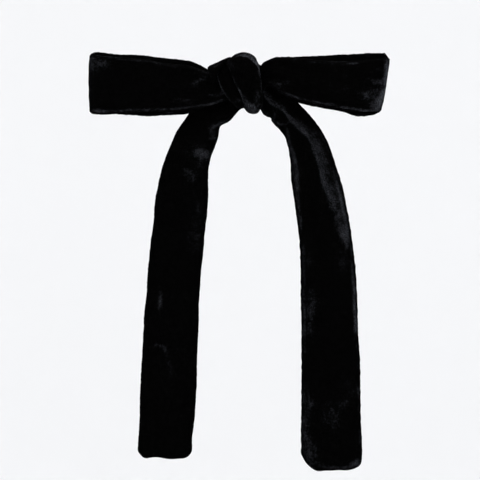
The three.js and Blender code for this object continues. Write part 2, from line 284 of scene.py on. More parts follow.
@dataclass
class PileEffects:
    """The effects that the velvet materials share, each a group that is made once."""

    clump_scale: float = 0.31
    tip_share: float = 0.6
    clump_share: float = 0.4
    tip_range: tuple[float, float] = (0.4, 0.62)
    streak_range: tuple[float, float] = (0.36, 0.66)
    blot_scale: float = 0.2
    blot_range: tuple[float, float] = (0.34, 0.66)
    blot_depth: float = 0.9
    blot_least: float = 0.55
    grain: bpy.types.NodeTree = field(init=False)
    streak_group: bpy.types.NodeTree = field(init=False)

    def __post_init__(self) -> None:
        """Makes the groups."""
        self.grain = self.make_grain()
        self.streak_group = self.make_nap_and_highlight()

    @staticmethod
    def group(name: str, inputs: dict[str, str], outputs: tuple[str, ...]) -> NodeSheet:
        """Makes an empty group with its sockets.

        Args:
            name: The group's name.
            inputs: Socket types by the inputs' names.
            outputs: Names of the outputs, which are all plain values.

        Returns:
            The sheet of the group's tree, with its input and output nodes.
        """
        tree = bpy.data.node_groups.new(name, "ShaderNodeTree")
        for label, kind in inputs.items():
            tree.interface.new_socket(label, in_out="INPUT", socket_type=kind)
        for label in outputs:
            tree.interface.new_socket(label, in_out="OUTPUT", socket_type="NodeSocketFloat")
        tree.nodes.new("NodeGroupInput")
        tree.nodes.new("NodeGroupOutput")
        return NodeSheet(tree)

    def make_grain(self) -> bpy.types.NodeTree:
        """Makes the fine tufts of the pile: their height and a speckle of lighter tips.

        Returns:
            The group's tree.
        """
        sockets = {"Place": "NodeSocketVector", "Tuft Size": "NodeSocketFloat"}
        sheet = self.group("pile_grain", sockets, ("Height", "Speckle"))
        given, made = sheet.tree.nodes[0], sheet.tree.nodes[1]
        finer = sheet.math("DIVIDE", 1.0, given.outputs["Tuft Size"])
        place = sheet.scale(given.outputs["Place"], finer)
        tips = sheet.noise(place, detail=3.0, rough=0.8)
        clumps = sheet.noise(sheet.scale(place, self.clump_scale), detail=3.0, rough=0.6)
        tip_height = sheet.math("MULTIPLY", tips, self.tip_share)
        clump_height = sheet.math("MULTIPLY", clumps, self.clump_share)
        sheet.tree.links.new(sheet.math("ADD", tip_height, clump_height), made.inputs["Height"])
        sheet.tree.links.new(sheet.spread(tips, *self.tip_range), made.inputs["Speckle"])
        return sheet.tree

    def make_nap_and_highlight(self) -> bpy.types.NodeTree:
        """Turns a soft mask into ragged streaks along the strip, blotched within: painted highlight, partly
        pile that lies over.

        Returns:
            The group's tree.
        """
        names = ("Mask", "Streak Width", "Streak Length", "Raggedness")
        sockets = {"Place": "NodeSocketVector"} | {name: "NodeSocketFloat" for name in names}
        sheet = self.group("nap_and_highlight_streaks", sockets, ("Nap And Highlight",))
        given, made = sheet.tree.nodes[0], sheet.tree.nodes[1]
        parts = sheet.add("ShaderNodeSeparateXYZ", {0: given.outputs["Place"]})
        across = sheet.math("DIVIDE", parts.outputs["X"], given.outputs["Streak Width"])
        along = sheet.math("DIVIDE", parts.outputs["Y"], given.outputs["Streak Length"])
        values = {"X": across, "Y": along, "Z": parts.outputs["Z"]}
        streaked = sheet.add("ShaderNodeCombineXYZ", values).outputs[0]
        streaks = sheet.spread(sheet.noise(streaked, detail=4.0, rough=0.7), *self.streak_range)
        blotted = sheet.noise(sheet.scale(streaked, self.blot_scale), detail=4.0, rough=0.6)
        blots = sheet.math("MULTIPLY", sheet.spread(blotted, *self.blot_range), self.blot_depth)
        blotched_mask = sheet.math("MULTIPLY", given.outputs["Mask"], sheet.math("ADD", blots, self.blot_least))
        gaps = sheet.math("SUBTRACT", 1.0, streaks)
        ragged = sheet.math("MULTIPLY", gaps, given.outputs["Raggedness"])
        nap_and_highlight = sheet.math("SUBTRACT", blotched_mask, ragged, clamp=True)
        sheet.tree.links.new(nap_and_highlight, made.inputs["Nap And Highlight"])
        return sheet.tree


@dataclass(frozen=True)
class VelvetFinish:
    """How the pile of one stretch of the strip looks. Lengths are millimetres."""

    name: str
    deep: tuple[float, float, float] = (0.0001, 0.0001, 0.0001)
    tips: tuple[float, float, float] = (0.0013, 0.0013, 0.0013)
    tip_contrast: float = 1.6
    # The colour of the painted highlights, partly pile that lies over; glint speckles them.
    nap_and_highlight: tuple[float, float, float] = (0.044, 0.046, 0.0535)
    glint: float = 1.36
    glint_least: float = 0.2
    sheen_weight: float = 0.012
    sheen_roughness: float = 0.3
    sheen_tint: tuple[float, float, float] = (0.55, 0.58, 0.66)
    specular: float = 0.01
    roughness: float = 0.98
    nap_and_highlight_gloss: float = 0.2
    tuft: float = 0.55
    pile_depth: float = 0.2
    nap_and_highlight_height: float = 0.35
    bump: float = 0.7
    streak_width: float = 0.8
    streak_length: float = 1.0
    rim_stretch: float = 1.6
    raggedness: float = 0.34
    stray_nap: float = 0.22

    def material(self, effects: PileEffects) -> bpy.types.Material:
        """Makes the velvet as a procedural material, with highlights painted into its colour.

        Args:
            effects: The shared groups.

        Returns:
            The new material.
        """
        material = bpy.data.materials.new(self.name)
        material.use_nodes = True
        sheet = NodeSheet(material.node_tree)
        place = sheet.add("ShaderNodeAttribute", attribute_name=PLACE).outputs["Vector"]
        values = {"Place": place, "Tuft Size": self.tuft}
        grain = sheet.add("ShaderNodeGroup", values, node_tree=effects.grain)
        speckle = grain.outputs["Speckle"]
        # Painted highlights: the fold marks on the front faces and the lines along the rolled edges.
        faces = self.nap_and_highlight_layer(sheet, effects, NAP_AND_HIGHLIGHT, 1.0)
        rims = self.nap_and_highlight_layer(sheet, effects, RIM, self.rim_stretch)
        glint = sheet.math("ADD", sheet.math("MULTIPLY", speckle, self.glint), self.glint_least)
        lit = sheet.math("MULTIPLY", sheet.math("MAXIMUM", faces, rims), glint, clamp=True)
        fine = sheet.math("POWER", speckle, self.tip_contrast)
        pile = sheet.blend(fine, (*self.deep, 1.0), (*self.tips, 1.0))
        gloss = sheet.math("MULTIPLY", lit, self.nap_and_highlight_gloss)
        raised = sheet.math("MULTIPLY", lit, self.nap_and_highlight_height)
        height = sheet.math("ADD", grain.outputs["Height"], raised)
        values = {"Strength": self.bump, "Distance": self.pile_depth * MM, "Height": height}
        bump = sheet.add("ShaderNodeBump", values)
        shader = material.node_tree.nodes["Principled BSDF"]
        # The colour goes from the dark pile to the painted highlight colour where lit.
        sheet.tree.links.new(sheet.blend(lit, pile, (*self.nap_and_highlight, 1.0)), shader.inputs["Base Color"])
        sheet.tree.links.new(sheet.math("SUBTRACT", self.roughness, gloss), shader.inputs["Roughness"])
        sheet.tree.links.new(bump.outputs["Normal"], shader.inputs["Normal"])
        shader.inputs["Specular IOR Level"].default_value = self.specular
        shader.inputs["Sheen Weight"].default_value = self.sheen_weight
        shader.inputs["Sheen Roughness"].default_value = self.sheen_roughness
        shader.inputs["Sheen Tint"].default_value = (*self.sheen_tint, 1.0)
        return material

    def nap_and_highlight_layer(
        self, sheet: NodeSheet, effects: PileEffects, mask: str, stretch: float
    ) -> bpy.types.NodeSocket:
        """Adds one layer of painted highlight, partly pile that lies over.

        Args:
            sheet: The sheet of the material's tree.
            effects: The shared groups.
            mask: Name of the layer's mask on the mesh.
            stretch: How much longer the streaks are than the finish's own.

        Returns:
            How strongly the highlight is painted.
        """
        values = {
            "Place": sheet.add("ShaderNodeAttribute", attribute_name=PLACE).outputs["Vector"],
            "Mask": sheet.add("ShaderNodeAttribute", attribute_name=mask).outputs["Fac"],
            "Streak Width": self.streak_width,
            "Streak Length": self.streak_length * stretch,
            "Raggedness": self.raggedness,
        }
        return sheet.add("ShaderNodeGroup", values, node_tree=effects.streak_group).outputs["Nap And Highlight"]


@dataclass(frozen=True)
class Spine:
    """Stations along a strip: the sizes, the middle, the direction and the way travelled."""

    sizes: dict[str, np.ndarray]
    middle: np.ndarray
    along: np.ndarray
    travelled: np.ndarray
    total: float


@dataclass(frozen=True)
class Sections:
    """Where the strip's cross-section lies at each station, and how it is thinned there."""

    at: np.ndarray
    across: np.ndarray
    out: np.ndarray
    half: np.ndarray
    thinned: np.ndarray


@dataclass(frozen=True)
class Surface:
    """Rings of points round a strip, with the pile's place and its painted edge highlight at each point."""

    rings: np.ndarray
    place: np.ndarray
    rim: np.ndarray
    closed: bool = False

    def mesh(self, name: str) -> bpy.types.Object:
        """Joins the rings into one closed mesh that faces out.

        Args:
            name: The object's name.

        Returns:
            The new object, in metres.
        """
        stations, count = self.rings.shape[:2]
        ring = np.arange(stations if self.closed else stations - 1)[:, None] * count
        step = np.arange(count)[None, :]
        a, b = ring + step, ring + (step + 1) % count
        total = stations * count
        quads = np.stack([a, b, (b + count) % total, (a + count) % total], axis=-1).reshape(-1, 4)
        faces = quads.tolist()
        if not self.closed:
            faces += self.end(0, count, True) + self.end((stations - 1) * count, count, False)
        points = self.rings.reshape(-1, 3) * MM
        first, second, third = (points[quads[:, corner]] for corner in range(3))
        if np.einsum("ni,ni->", first, np.cross(second, third)) < 0.0:
            faces = [face[::-1] for face in faces]
        mesh = bpy.data.meshes.new(name)
        mesh.from_pydata(points.tolist(), [], faces)
        mesh.shade_smooth()
        place = mesh.attributes.new(PLACE, "FLOAT_VECTOR", "POINT")
        place.data.foreach_set("vector", self.place.reshape(-1))
        rim = mesh.attributes.new(RIM, "FLOAT", "POINT")
        rim.data.foreach_set("value", self.rim.reshape(-1))
        piece = bpy.data.objects.new(name, mesh)
        bpy.context.scene.collection.objects.link(piece)
        return piece

    @staticmethod
    def end(first: int, count: int, turned: bool) -> list[list[int]]:
        """Closes one end with a ladder between the outer and the inner face.

        Args:
            first: Number of the end ring's first point.
            count: Points in a ring.
            turned: True for the end where the strip starts.

        Returns:
            The faces.
        """
        faces = []
        for i in range(count // 2):
            face = [first + i, first + i + 1, first + count - i - 1, first + (count - i) % count]
            face = list(dict.fromkeys(face))
            faces.append(face[::-1] if turned else face)
        return faces


@dataclass(frozen=True, kw_only=True)
class VelvetPiece:
    """A piece of the tie, with what its cloth and its pile are like. Lengths are millimetres."""

    name: str
    node: str
    number: int
    finish: VelvetFinish
    hold: Hold
    rests_on: tuple[str, ...] = ()
    cut_width: float = 25.0
    pile: float = 0.025
    puffs: Ripple = Ripple(0.05, 3.2, 80)
    stray: Ripple = Ripple(1.0, 16.0, 100)
    stray_range: tuple[float, float] = (-0.2, 1.5)
    # The painted highlight along the rolled edges: its strength, its width, its least share and its gaps.
    rim_light: float = 0.26
    rim_width: float = 0.7
    rim_least: float = 0.55
    rim_gaps: Ripple = Ripple(0.6, 9.0, 120)

    def surface(self) -> Surface:
        """Lays out the skin of the piece."""
        raise NotImplementedError

    def nap_and_highlight(self, points: np.ndarray, normals: np.ndarray) -> np.ndarray:
        """Says how strongly highlights are painted, partly pile that lies over, at points with normals."""
        raise NotImplementedError

    def tufts(self, shape: tuple[int, ...]) -> np.ndarray:
        """Gives the random height of the tufts, the same on every run."""
        return self.pile * np.random.default_rng(self.number).normal(size=shape)

    def paint(self, piece: bpy.types.Object) -> None:
        """Writes on the piece where highlights are painted into its pile and where the pile lies over.

        Args:
            piece: The piece, whose points and normals decide which marks reach them.
        """
        count = len(piece.data.vertices)
        points, normals = np.zeros(3 * count), np.zeros(3 * count)
        piece.data.vertices.foreach_get("co", points)
        piece.data.vertex_normals.foreach_get("vector", normals)
        layer = piece.data.attributes.new(NAP_AND_HIGHLIGHT, "FLOAT", "POINT")
        nap_and_highlight = self.nap_and_highlight(points.reshape(-1, 3) / MM, normals.reshape(-1, 3))
        layer.data.foreach_set("value", nap_and_highlight)

    def build(self, effects: PileEffects) -> bpy.types.Object:
        """Args:
            effects: The shared groups of the materials.

        Returns:
            The piece.
        """
        surface = self.surface()
        piece = surface.mesh(self.name)
        self.paint(piece)
        piece.data.materials.append(self.finish.material(effects))
        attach(piece, BODY)
        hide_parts(self.node)
        return piece


@dataclass(frozen=True, kw_only=True)
class VelvetStretch(VelvetPiece):
    """One stretch of the strip between two crossings, swept along its rows of sizes.

    The bead and the groove along its edges each have a place: how far in it lies, and how wide it is.
    """

    rows: Rows
    folds: tuple[FoldLine, ...] = ()
    nicks: tuple[Nick, ...] = ()
    thick: float = 2.0
    roundness: float = 8.0
    spacing: float = 0.5
    face_steps: int = 64
    outline_samples: int = 2000
    row_samples: int = 200
    row_reach: float = 0.06
    front_y: float = 0.0
    front_fade: float = 0.8
    facing: tuple[float, float] = (-0.35, 0.1)
    front_calm: float = 0.7
    face_waves: Ripple = Ripple(0.1, 11.0, 60)
    edge_waves: Ripple = Ripple(0.15, 13.0, 40)
    fray: float = 0.06
    fray_waves: Ripple = Ripple(1.0, 3.0, 20)
    fray_tips: Ripple = Ripple(0.6, 1.5, 30)
    bead: float = 0.1
    bead_place: tuple[float, float] = (0.9, 0.5)
    groove_place: tuple[float, float] = (2.3, 0.8)
    # Where the painted edge highlight lies in from the edge, and its share on the back and the inner face.
    rim_inset: float = 1.1
    rim_back: float = 0.4

    def middle_of(self, sizes: dict[str, np.ndarray]) -> np.ndarray:
        """The middle of the strip for rows of sizes."""
        return np.stack([sizes["x"], sizes["y"], sizes["z"]], axis=-1)

    def sections(self, spine: Spine) -> Sections:
        """Lays the cross-section along the spine."""
        raise NotImplementedError

    def bulge(self, sizes: dict[str, np.ndarray], u: np.ndarray) -> np.ndarray:
        """How far the middle surface stands out at each station and each u."""
        raise NotImplementedError

    def stations(self, total: float) -> np.ndarray:
        """Chooses even stations, as the way travelled from the start."""
        return np.linspace(0.0, total, round(total / self.spacing), endpoint=not self.rows.closed)

    def end_wave(self, spine: Spine, flat: np.ndarray) -> np.ndarray:
        """How far each point is pushed along the strip."""
        return np.zeros(flat.shape[:2])

    def is_front(self, y: np.ndarray) -> np.ndarray:
        """1 in front of front_y, and 0 behind it."""
        return smoothstep(-self.front_y - self.front_fade, -self.front_y + self.front_fade, -y)

    def spine(self) -> Spine:
        """Follows the rows and sets out the stations.

        Returns:
            The spine.
        """
        fine = np.linspace(0.0, self.rows.spans, self.row_samples * self.rows.spans + 1)
        middles = self.middle_of(self.rows.at(fine))
        steps = np.linalg.norm(np.diff(middles, axis=0), axis=1)
        travelled = np.concatenate([[0.0], np.cumsum(steps)])
        wanted = self.stations(travelled[-1])
        places = np.interp(wanted, travelled, fine)
        before, after = places - self.row_reach, places + self.row_reach
        if not self.rows.closed:
            before, after = np.maximum(before, 0.0), np.minimum(after, self.rows.spans)
        along = self.middle_of(self.rows.at(after)) - self.middle_of(self.rows.at(before))
        sizes = self.rows.at(places)
        return Spine(sizes, self.middle_of(sizes), unit(along), wanted, travelled[-1])

    def outline(self) -> tuple[np.ndarray, np.ndarray]:
        """Spaces the points of a section evenly over its rolled edges and its faces.

        Returns:
            For each point u from -1 to 1 across the strip, and 1 on the outer or -1 on the inner face.
        """
        u = -np.cos(np.linspace(0.0, math.pi, self.outline_samples))
        typical = 2.0 * self.thick / self.cut_width
        high = typical * np.sqrt(1.0 - np.abs(u) ** self.roundness)
        way = np.concatenate([[0.0], np.cumsum(np.hypot(np.diff(u), np.diff(high)))])
        even = np.interp(np.linspace(0.0, way[-1], self.face_steps + 1), way, u)
        u = np.concatenate([even, even[1:-1][::-1]])
        side = np.concatenate([np.ones(len(even)), -np.ones(len(even) - 2)])
        return u, side

    def surface(self) -> Surface:
        """Sweeps the section along the spine, with its folds and its pile.

        Returns:
            The surface.
        """
        spine = self.spine()
        cut = self.sections(spine)
        u, side = self.outline()
        rounding = np.sqrt(np.maximum(0.0, 1.0 - np.abs(u) ** self.roundness))[None, :]
        inset = cut.half[:, None] * (1.0 - np.abs(u))[None, :]
        reach = cut.half[:, None] * u[None, :]
        flat = cut.at[:, None] + cut.across[:, None] * reach[..., None]
        reach = reach + self.edge_shift(flat) * np.sign(u)[None, :] * u[None, :] ** 4
        lift = self.bulge(spine.sizes, u[None, :]) + self.face_waves.at(flat, self.number)
        lift = lift + side[None, :] * self.half_wall(cut, flat, inset, rounding)
        lift = lift + self.relief(flat, side, rounding)
        rings = cut.at[:, None] + cut.across[:, None] * reach[..., None]
        rings = rings + cut.out[:, None] * lift[..., None]
        rings = rings + spine.along[:, None] * self.end_wave(spine, flat)[..., None]
        way = np.broadcast_to(spine.travelled[:, None], reach.shape)
        if self.rows.closed:
            way = np.where(way > spine.total / 2.0, way - spine.total, way)
        place = np.stack([reach, way, np.full_like(reach, PLACE_STEP * self.number)], axis=-1)
        return Surface(rings, place, self.rim(flat, inset, side), self.rows.closed)

    def edge_shift(self, flat: np.ndarray) -> np.ndarray:
        """Moves the edges in and out: slow waves, a fray and the nicks.

        Args:
            flat: Where the points lie before the cloth has any thickness.

        Returns:
            How far the edge near each point moves outwards.
        """
        fray = self.fray_waves.at(flat, self.number) + self.fray_tips.at(flat, self.number)
        shift = self.edge_waves.at(flat, self.number) + self.fray * fray
        for nick in self.nicks:
            shift = shift + nick.at(flat)
        return shift

    def half_wall(
        self, cut: Sections, flat: np.ndarray, inset: np.ndarray, rounding: np.ndarray
    ) -> np.ndarray:
        """Gives the cloth its thickness, its beaded edges and the pile's tufts.

        Args:
            cut: The sections.
            flat: Where the points lie before the cloth has any thickness.
            inset: How far the points are from the nearest edge.
            rounding: 1 on the faces, and 0 at the edges that they are rolled to.

        Returns:
            How far the skin stands off the middle of the cloth.
        """
        bead, groove = (
            np.exp(-(((inset - at) / width) ** 2)) for at, width in (self.bead_place, self.groove_place)
        )
        wall = self.thick / 2.0 * rounding * cut.thinned[:, None]
        wall = wall + self.bead * (bead - groove) * rounding
        wall = wall + self.tufts(inset.shape) * rounding
        return wall + self.puffs.at(flat, self.number) * rounding

    def relief(self, flat: np.ndarray, side: np.ndarray, rounding: np.ndarray) -> np.ndarray:
        """Raises the folds, on the outer face or on the whole cloth.

        Args:
            flat: Where the points lie before the cloth has any thickness.
            side: 1 on the outer and -1 on the inner face.
            rounding: 1 on the faces, and 0 at the edges that they are rolled to.

        Returns:
            How far each point is raised.
        """
        raised = np.zeros(flat.shape[:2])
        outer = (side > 0.0)[None, :] * rounding
        for fold in self.folds:
            if fold.height:
                strength = fold.height * fold.strength_at(flat[..., 0], flat[..., 2])
                raised += strength * (1.0 if fold.through else outer)
        return raised * self.is_front(flat[..., 1])

    def rim(self, flat: np.ndarray, inset: np.ndarray, side: np.ndarray) -> np.ndarray:
        """Says how strongly a highlight is painted along the rolled edges, brighter on the outer face at the
        front.

        Args:
            flat: Where the points lie before the cloth has any thickness.
            inset: How far the points are from the nearest edge.
            side: 1 on the outer and -1 on the inner face.

        Returns:
            Values from 0 to 1.
        """
        rim = self.rim_light * np.exp(-(((inset - self.rim_inset) / self.rim_width) ** 2))
        rim = rim * (self.rim_least + self.rim_gaps.at(flat, self.number))
        outer_front = self.is_front(flat[..., 1]) * (side > 0.0)
        rim = rim * (self.rim_back + (1.0 - self.rim_back) * outer_front)
        return np.clip(rim, 0.0, 1.0)

    def nap_and_highlight(self, points: np.ndarray, normals: np.ndarray) -> np.ndarray:
        """Says where highlights are painted on the front-facing cloth along the folds, partly pile that lies
        over, and where the pile lies over here and there.

        Args:
            points: Places in millimetres.
            normals: The directions that the skin faces there.

        Returns:
            0 for dark upright pile to 1 for the full painted highlight, partly pile that lies over.
        """
        # Highlights are painted only where the cloth faces the front.
        front = smoothstep(*self.facing, -normals[:, 1]) * self.is_front(points[:, 1])
        marks = np.zeros(len(points))
        for fold in self.folds:
            if fold.light:
                strength = fold.light * fold.strength_at(points[:, 0], points[:, 2])
                marks = np.maximum(marks, strength)
        stray = smoothstep(*self.stray_range, self.stray.at(points, self.number))
        calm = 1.0 - self.front_calm * front
        return np.maximum(marks * front, stray * self.finish.stray_nap * calm)


@dataclass(frozen=True, kw_only=True)
class BowLoop(VelvetStretch):
    """A loop of the bow: the strip on edge, doubled back on itself."""

    side: Side
    fray: float = 0.09
    gather_waves: float = 2.5

    def sections(self, spine: Spine) -> Sections:
        """Stands the strip on edge along the spine.

        Args:
            spine: The stations.

        Returns:
            The sections.
        """
        across = np.zeros_like(spine.middle)
        across[:, 0], across[:, 2] = spine.sizes["lean"], 1.0
        out = unit(np.cross(across, spine.along)) * -self.side.value
        half = spine.sizes["half"]
        return Sections(spine.middle, across, out, half, np.ones_like(half))

    def bulge(self, sizes: dict[str, np.ndarray], u: np.ndarray) -> np.ndarray:
        """Cups the strip and gathers it near the knot."""
        waves = np.cos(self.gather_waves * math.pi * u)
        return sizes["cup"][:, None] * (1.0 - u**2) + sizes["gather"][:, None] * waves


@dataclass(frozen=True, kw_only=True)
class HangingTail(VelvetStretch):
    """A hanging end of the strip, with its face to the front and round corners at its end."""

    left_corner: float
    right_corner: float
    ridge_width: float = 0.26
    end_roll: float = 12.0
    end_stations: int = 48
    end_crowding: float = 2.2
    end_last: float = 0.04
    end_ripple: Ripple = Ripple(0.3, 8.0, 160)
    end_fade: float = 5.0

    @staticmethod
    def edges(sizes: dict[str, np.ndarray]) -> tuple[np.ndarray, np.ndarray]:
        """Finds the strip's two edges.

        Args:
            sizes: Rows of sizes.

        Returns:
            The left and the right edge.
        """
        left = np.stack([sizes["leftX"], sizes["y"], sizes["leftZ"]], axis=-1)
        right = np.stack([sizes["rightX"], sizes["y"], sizes["rightZ"]], axis=-1)
        return left, right

    def middle_of(self, sizes: dict[str, np.ndarray]) -> np.ndarray:
        """The middle between the two edges."""
        left, right = self.edges(sizes)
        return (left + right) / 2.0

    def stations(self, total: float) -> np.ndarray:
        """Chooses even stations that close up towards the rolled end.

        Args:
            total: Length of the tail.

        Returns:
            The stations, as the way travelled from the start.
        """
        count = round((total - self.end_roll) / self.spacing)
        even = np.linspace(0.0, total - self.end_roll, count, endpoint=False)
        rolled = np.linspace(1.0, self.end_last, self.end_stations) ** self.end_crowding
        return np.concatenate([even, total - self.end_roll * rolled])

    def sections(self, spine: Spine) -> Sections:
        """Lays the strip between its edges, with its corners cut round and its end rolled.

        Args:
            spine: The stations.

        Returns:
            The sections.
        """
        left, right = self.edges(spine.sizes)
        across = unit(right - left)
        to_end = spine.total - spine.travelled
        for edge, radius, inward in ((left, self.left_corner, 1.0), (right, self.right_corner, -1.0)):
            past = np.clip(1.0 - to_end / radius, 0.0, 1.0)
            inset = radius * (1.0 - np.sqrt(1.0 - past**2))
            edge += across * (inward * inset)[:, None]
        out = unit(np.cross(spine.along, across))
        half = np.linalg.norm(right - left, axis=1) / 2.0
        past = np.clip(1.0 - to_end / self.end_roll, 0.0, 1.0)
        return Sections((left + right) / 2.0, across, out, half, np.sqrt(1.0 - past**self.roundness))

    def end_wave(self, spine: Spine, flat: np.ndarray) -> np.ndarray:
        """Bows the strip's sewn end a little unevenly, the same through its thickness."""
        near_end = np.exp(-(spine.total - spine.travelled) / self.end_fade)
        return near_end[:, None] * self.end_ripple.at(flat * np.array([1.0, 0.0, 0.0]), self.number)

    def bulge(self, sizes: dict[str, np.ndarray], u: np.ndarray) -> np.ndarray:
        """Cups the strip and raises its lengthwise ridge."""
        off = (u - sizes["ridgeAt"][:, None]) / self.ridge_width
        return sizes["cup"][:, None] * (1.0 - u**2) + sizes["ridge"][:, None] * np.exp(-(off**2))


@dataclass(frozen=True, kw_only=True)
class WrapPleat(VelvetStretch):
    """A pleat of the wrap, which passes round the layers in the knot."""

    thick: float = 2.2
    roundness: float = 3.0
    spacing: float = 0.36
    face_steps: int = 44
    face_waves: Ripple = Ripple(0.05, 11.0, 60)
    fray: float = 0.05
    bead: float = 0.04
    rim_light: float = 0.15
    rim_inset: float = 0.35
    rim_width: float = 0.4

    def sections(self, spine: Spine) -> Sections:
        """Lays the pleat round the knot.

        Args:
            spine: The stations.

        Returns:
            The sections.
        """
        roll = np.radians(spine.sizes["roll"])
        across = np.stack([np.cos(roll), np.zeros_like(roll), -np.sin(roll)], axis=-1)
        around = spine.along * np.array([0.0, 1.0, 1.0])
        out = unit(np.cross(across, unit(around)))
        half = spine.sizes["half"]
        return Sections(spine.middle, across, out, half, np.ones_like(half))

    def bulge(self, sizes: dict[str, np.ndarray], u: np.ndarray) -> np.ndarray:
        """Puffs the middle of the pleat."""
        return sizes["puff"][:, None] * (1.0 - u**2)


@dataclass(frozen=True, kw_only=True)
class NeckBand(VelvetPiece):
    """The strip round the neck, folded in half lengthwise, with its fold on top."""

    half_wide: float = 63.0
    half_deep: float = 58.5
    height: float = 13.0
    thick: float = 3.8
    end_height: float = 11.0
    end_thick: float = 2.2
    free_range: tuple[float, float] = (0.01, 0.2)
    rise: float = 9.5
    middle_z: float = -1.0
    lean: float = 8.0
    past_middle: float = 6.2
    step: float = 2.6
    step_range: tuple[float, float] = (300.0, 350.0)
    slit: float = 0.3
    slit_top: float = 3.0
    slit_peak: float = 0.02
    stations: int = 620
    outline_steps: int = 88
    corner_steps: int = 12
    outer_leaf: float = 0.2
    leaf_gap: float = 40.0
    swell: Ripple = Ripple(0.09, 12.0, 60)
    puffs: Ripple = Ripple(0.04, 3.2, 80)
    pile: float = 0.02
    stray_range: tuple[float, float] = (0.3, 1.5)
    rim_light: float = 0.2
    rim_width: float = 0.8
    rim_least: float = 0.5

    def outline(self) -> tuple[np.ndarray, np.ndarray]:
        """Follows the folded section once round, for a band 1 thick and of the typical height.

        Returns:
            The sideways places from -0.5 to 0.5, and the heights from -0.5 to 0.5.
        """
        ratio = self.thick / self.height
        roll = np.linspace(0.0, math.pi / 2.0, self.corner_steps)
        top = [(0.5 * math.sin(a), 0.5 - 0.5 * ratio * (1.0 - math.cos(a))) for a in roll]
        turn = np.linspace(0.0, math.pi, self.corner_steps)
        half_slit = self.slit / self.thick / 2.0
        leaf = 0.25 - half_slit / 2.0
        middle = 0.5 - leaf
        lobe = [(middle + leaf * math.cos(a), -0.5 + ratio * leaf * (1.0 - math.sin(a))) for a in turn]
        depth = self.slit_top / self.height
        inside = [(half_slit, 0.5 - depth), (0.0, 0.5 + self.slit_peak - depth)]
        right = np.array(top + lobe + inside)
        left = right[1:-1][::-1] * np.array([-1.0, 1.0])
        loop = np.concatenate([right, left, right[:1]])
        scaled = loop * np.array([self.thick, self.height])
        way = np.concatenate([[0.0], np.cumsum(np.linalg.norm(np.diff(scaled, axis=0), axis=1))])
        even = np.linspace(0.0, way[-1], self.outline_steps, endpoint=False)
        return np.interp(even, way, loop[:, 0]), np.interp(even, way, loop[:, 1])

    def course(
        self, turn: np.ndarray, back: np.ndarray, free: np.ndarray, thick: np.ndarray
    ) -> tuple[np.ndarray, np.ndarray, np.ndarray]:
        """Follows the band round the neck, with its ends crossed in front.

        Args:
            turn: Degrees round the neck from the front.
            back: 0 at the front to 1 at the nape.
            free: 0 where the knot holds the band, and 1 where it is free.
            thick: The band's thickness.

        Returns:
            The middle of each section, its way out and its way up.
        """
        angle = np.radians(turn)
        step = self.step * smoothstep(*self.step_range, turn)
        flat = np.zeros_like(angle)
        outward = np.stack([np.sin(angle) / self.half_wide, -np.cos(angle) / self.half_deep, flat], axis=-1)
        outward = unit(outward)
        at = np.stack([self.half_wide * np.sin(angle), -self.half_deep * np.cos(angle), flat], axis=-1)
        at = at + outward * (thick / 2.0 + step)[:, None]
        at[:, 2] = self.middle_z + self.rise * back
        lean = np.radians(self.lean) * free
        up = outward * -np.sin(lean)[:, None]
        up[:, 2] = np.cos(lean)
        out = outward * np.cos(lean)[:, None]
        out[:, 2] = np.sin(lean)
        return at, out, up

    def surface(self) -> Surface:
        """Sweeps the folded section round the neck.

        Returns:
            The surface.
        """
        turn = np.linspace(-self.past_middle, 360.0 + self.past_middle, self.stations)
        angle = np.radians(turn)
        back = (1.0 - np.cos(angle)) / 2.0
        free = smoothstep(*self.free_range, back)
        thick = self.end_thick + (self.thick - self.end_thick) * free
        high = self.end_height + (self.height - self.end_height) * free
        at, out, up = self.course(turn, back, free, thick)
        across, level = self.outline()
        wide = thick[:, None] * across[None, :]
        tall = high[:, None] * level[None, :]
        rings = at[:, None] + out[:, None] * wide[..., None] + up[:, None] * tall[..., None]
        swell = self.swell.at(rings, self.number) + self.puffs.at(rings, self.number)
        swell = (swell + self.tufts(wide.shape)) * (np.abs(across) > self.outer_leaf)[None, :]
        rings = rings + out[:, None] * swell[..., None]
        way = angle[:, None] * (self.half_wide + self.half_deep) / 2.0
        way = np.broadcast_to(way, wide.shape)
        leaf = tall + self.leaf_gap * (across > 0.0)[None, :]
        place = np.stack([leaf, way, np.full_like(wide, PLACE_STEP * self.number)], axis=-1)
        # A painted highlight along the band's fold on top.
        rim = self.rim_light * np.exp(-(((tall - high[:, None] / 2.0) / self.rim_width) ** 2))
        rim = rim * (self.rim_least + self.rim_gaps.at(rings, self.number))
        return Surface(rings, place, np.clip(rim, 0.0, 1.0))

    def nap_and_highlight(self, points: np.ndarray, normals: np.ndarray) -> np.ndarray:
        """Says where the pile lies over: here and there, whichever way it faces; no highlight is painted on
        the band.
        """
        return smoothstep(*self.stray_range, self.stray.at(points, self.number)) * self.finish.stray_nap


LOOP_VELVET = VelvetFinish(name="loop_velvet", raggedness=0.38)
TAIL_VELVET = VelvetFinish(name="tail_velvet", nap_and_highlight=(0.032, 0.0335, 0.039))
KNOT_VELVET = VelvetFinish(name="knot_velvet", streak_width=0.65)
BAND_VELVET = VelvetFinish(name="band_velvet")

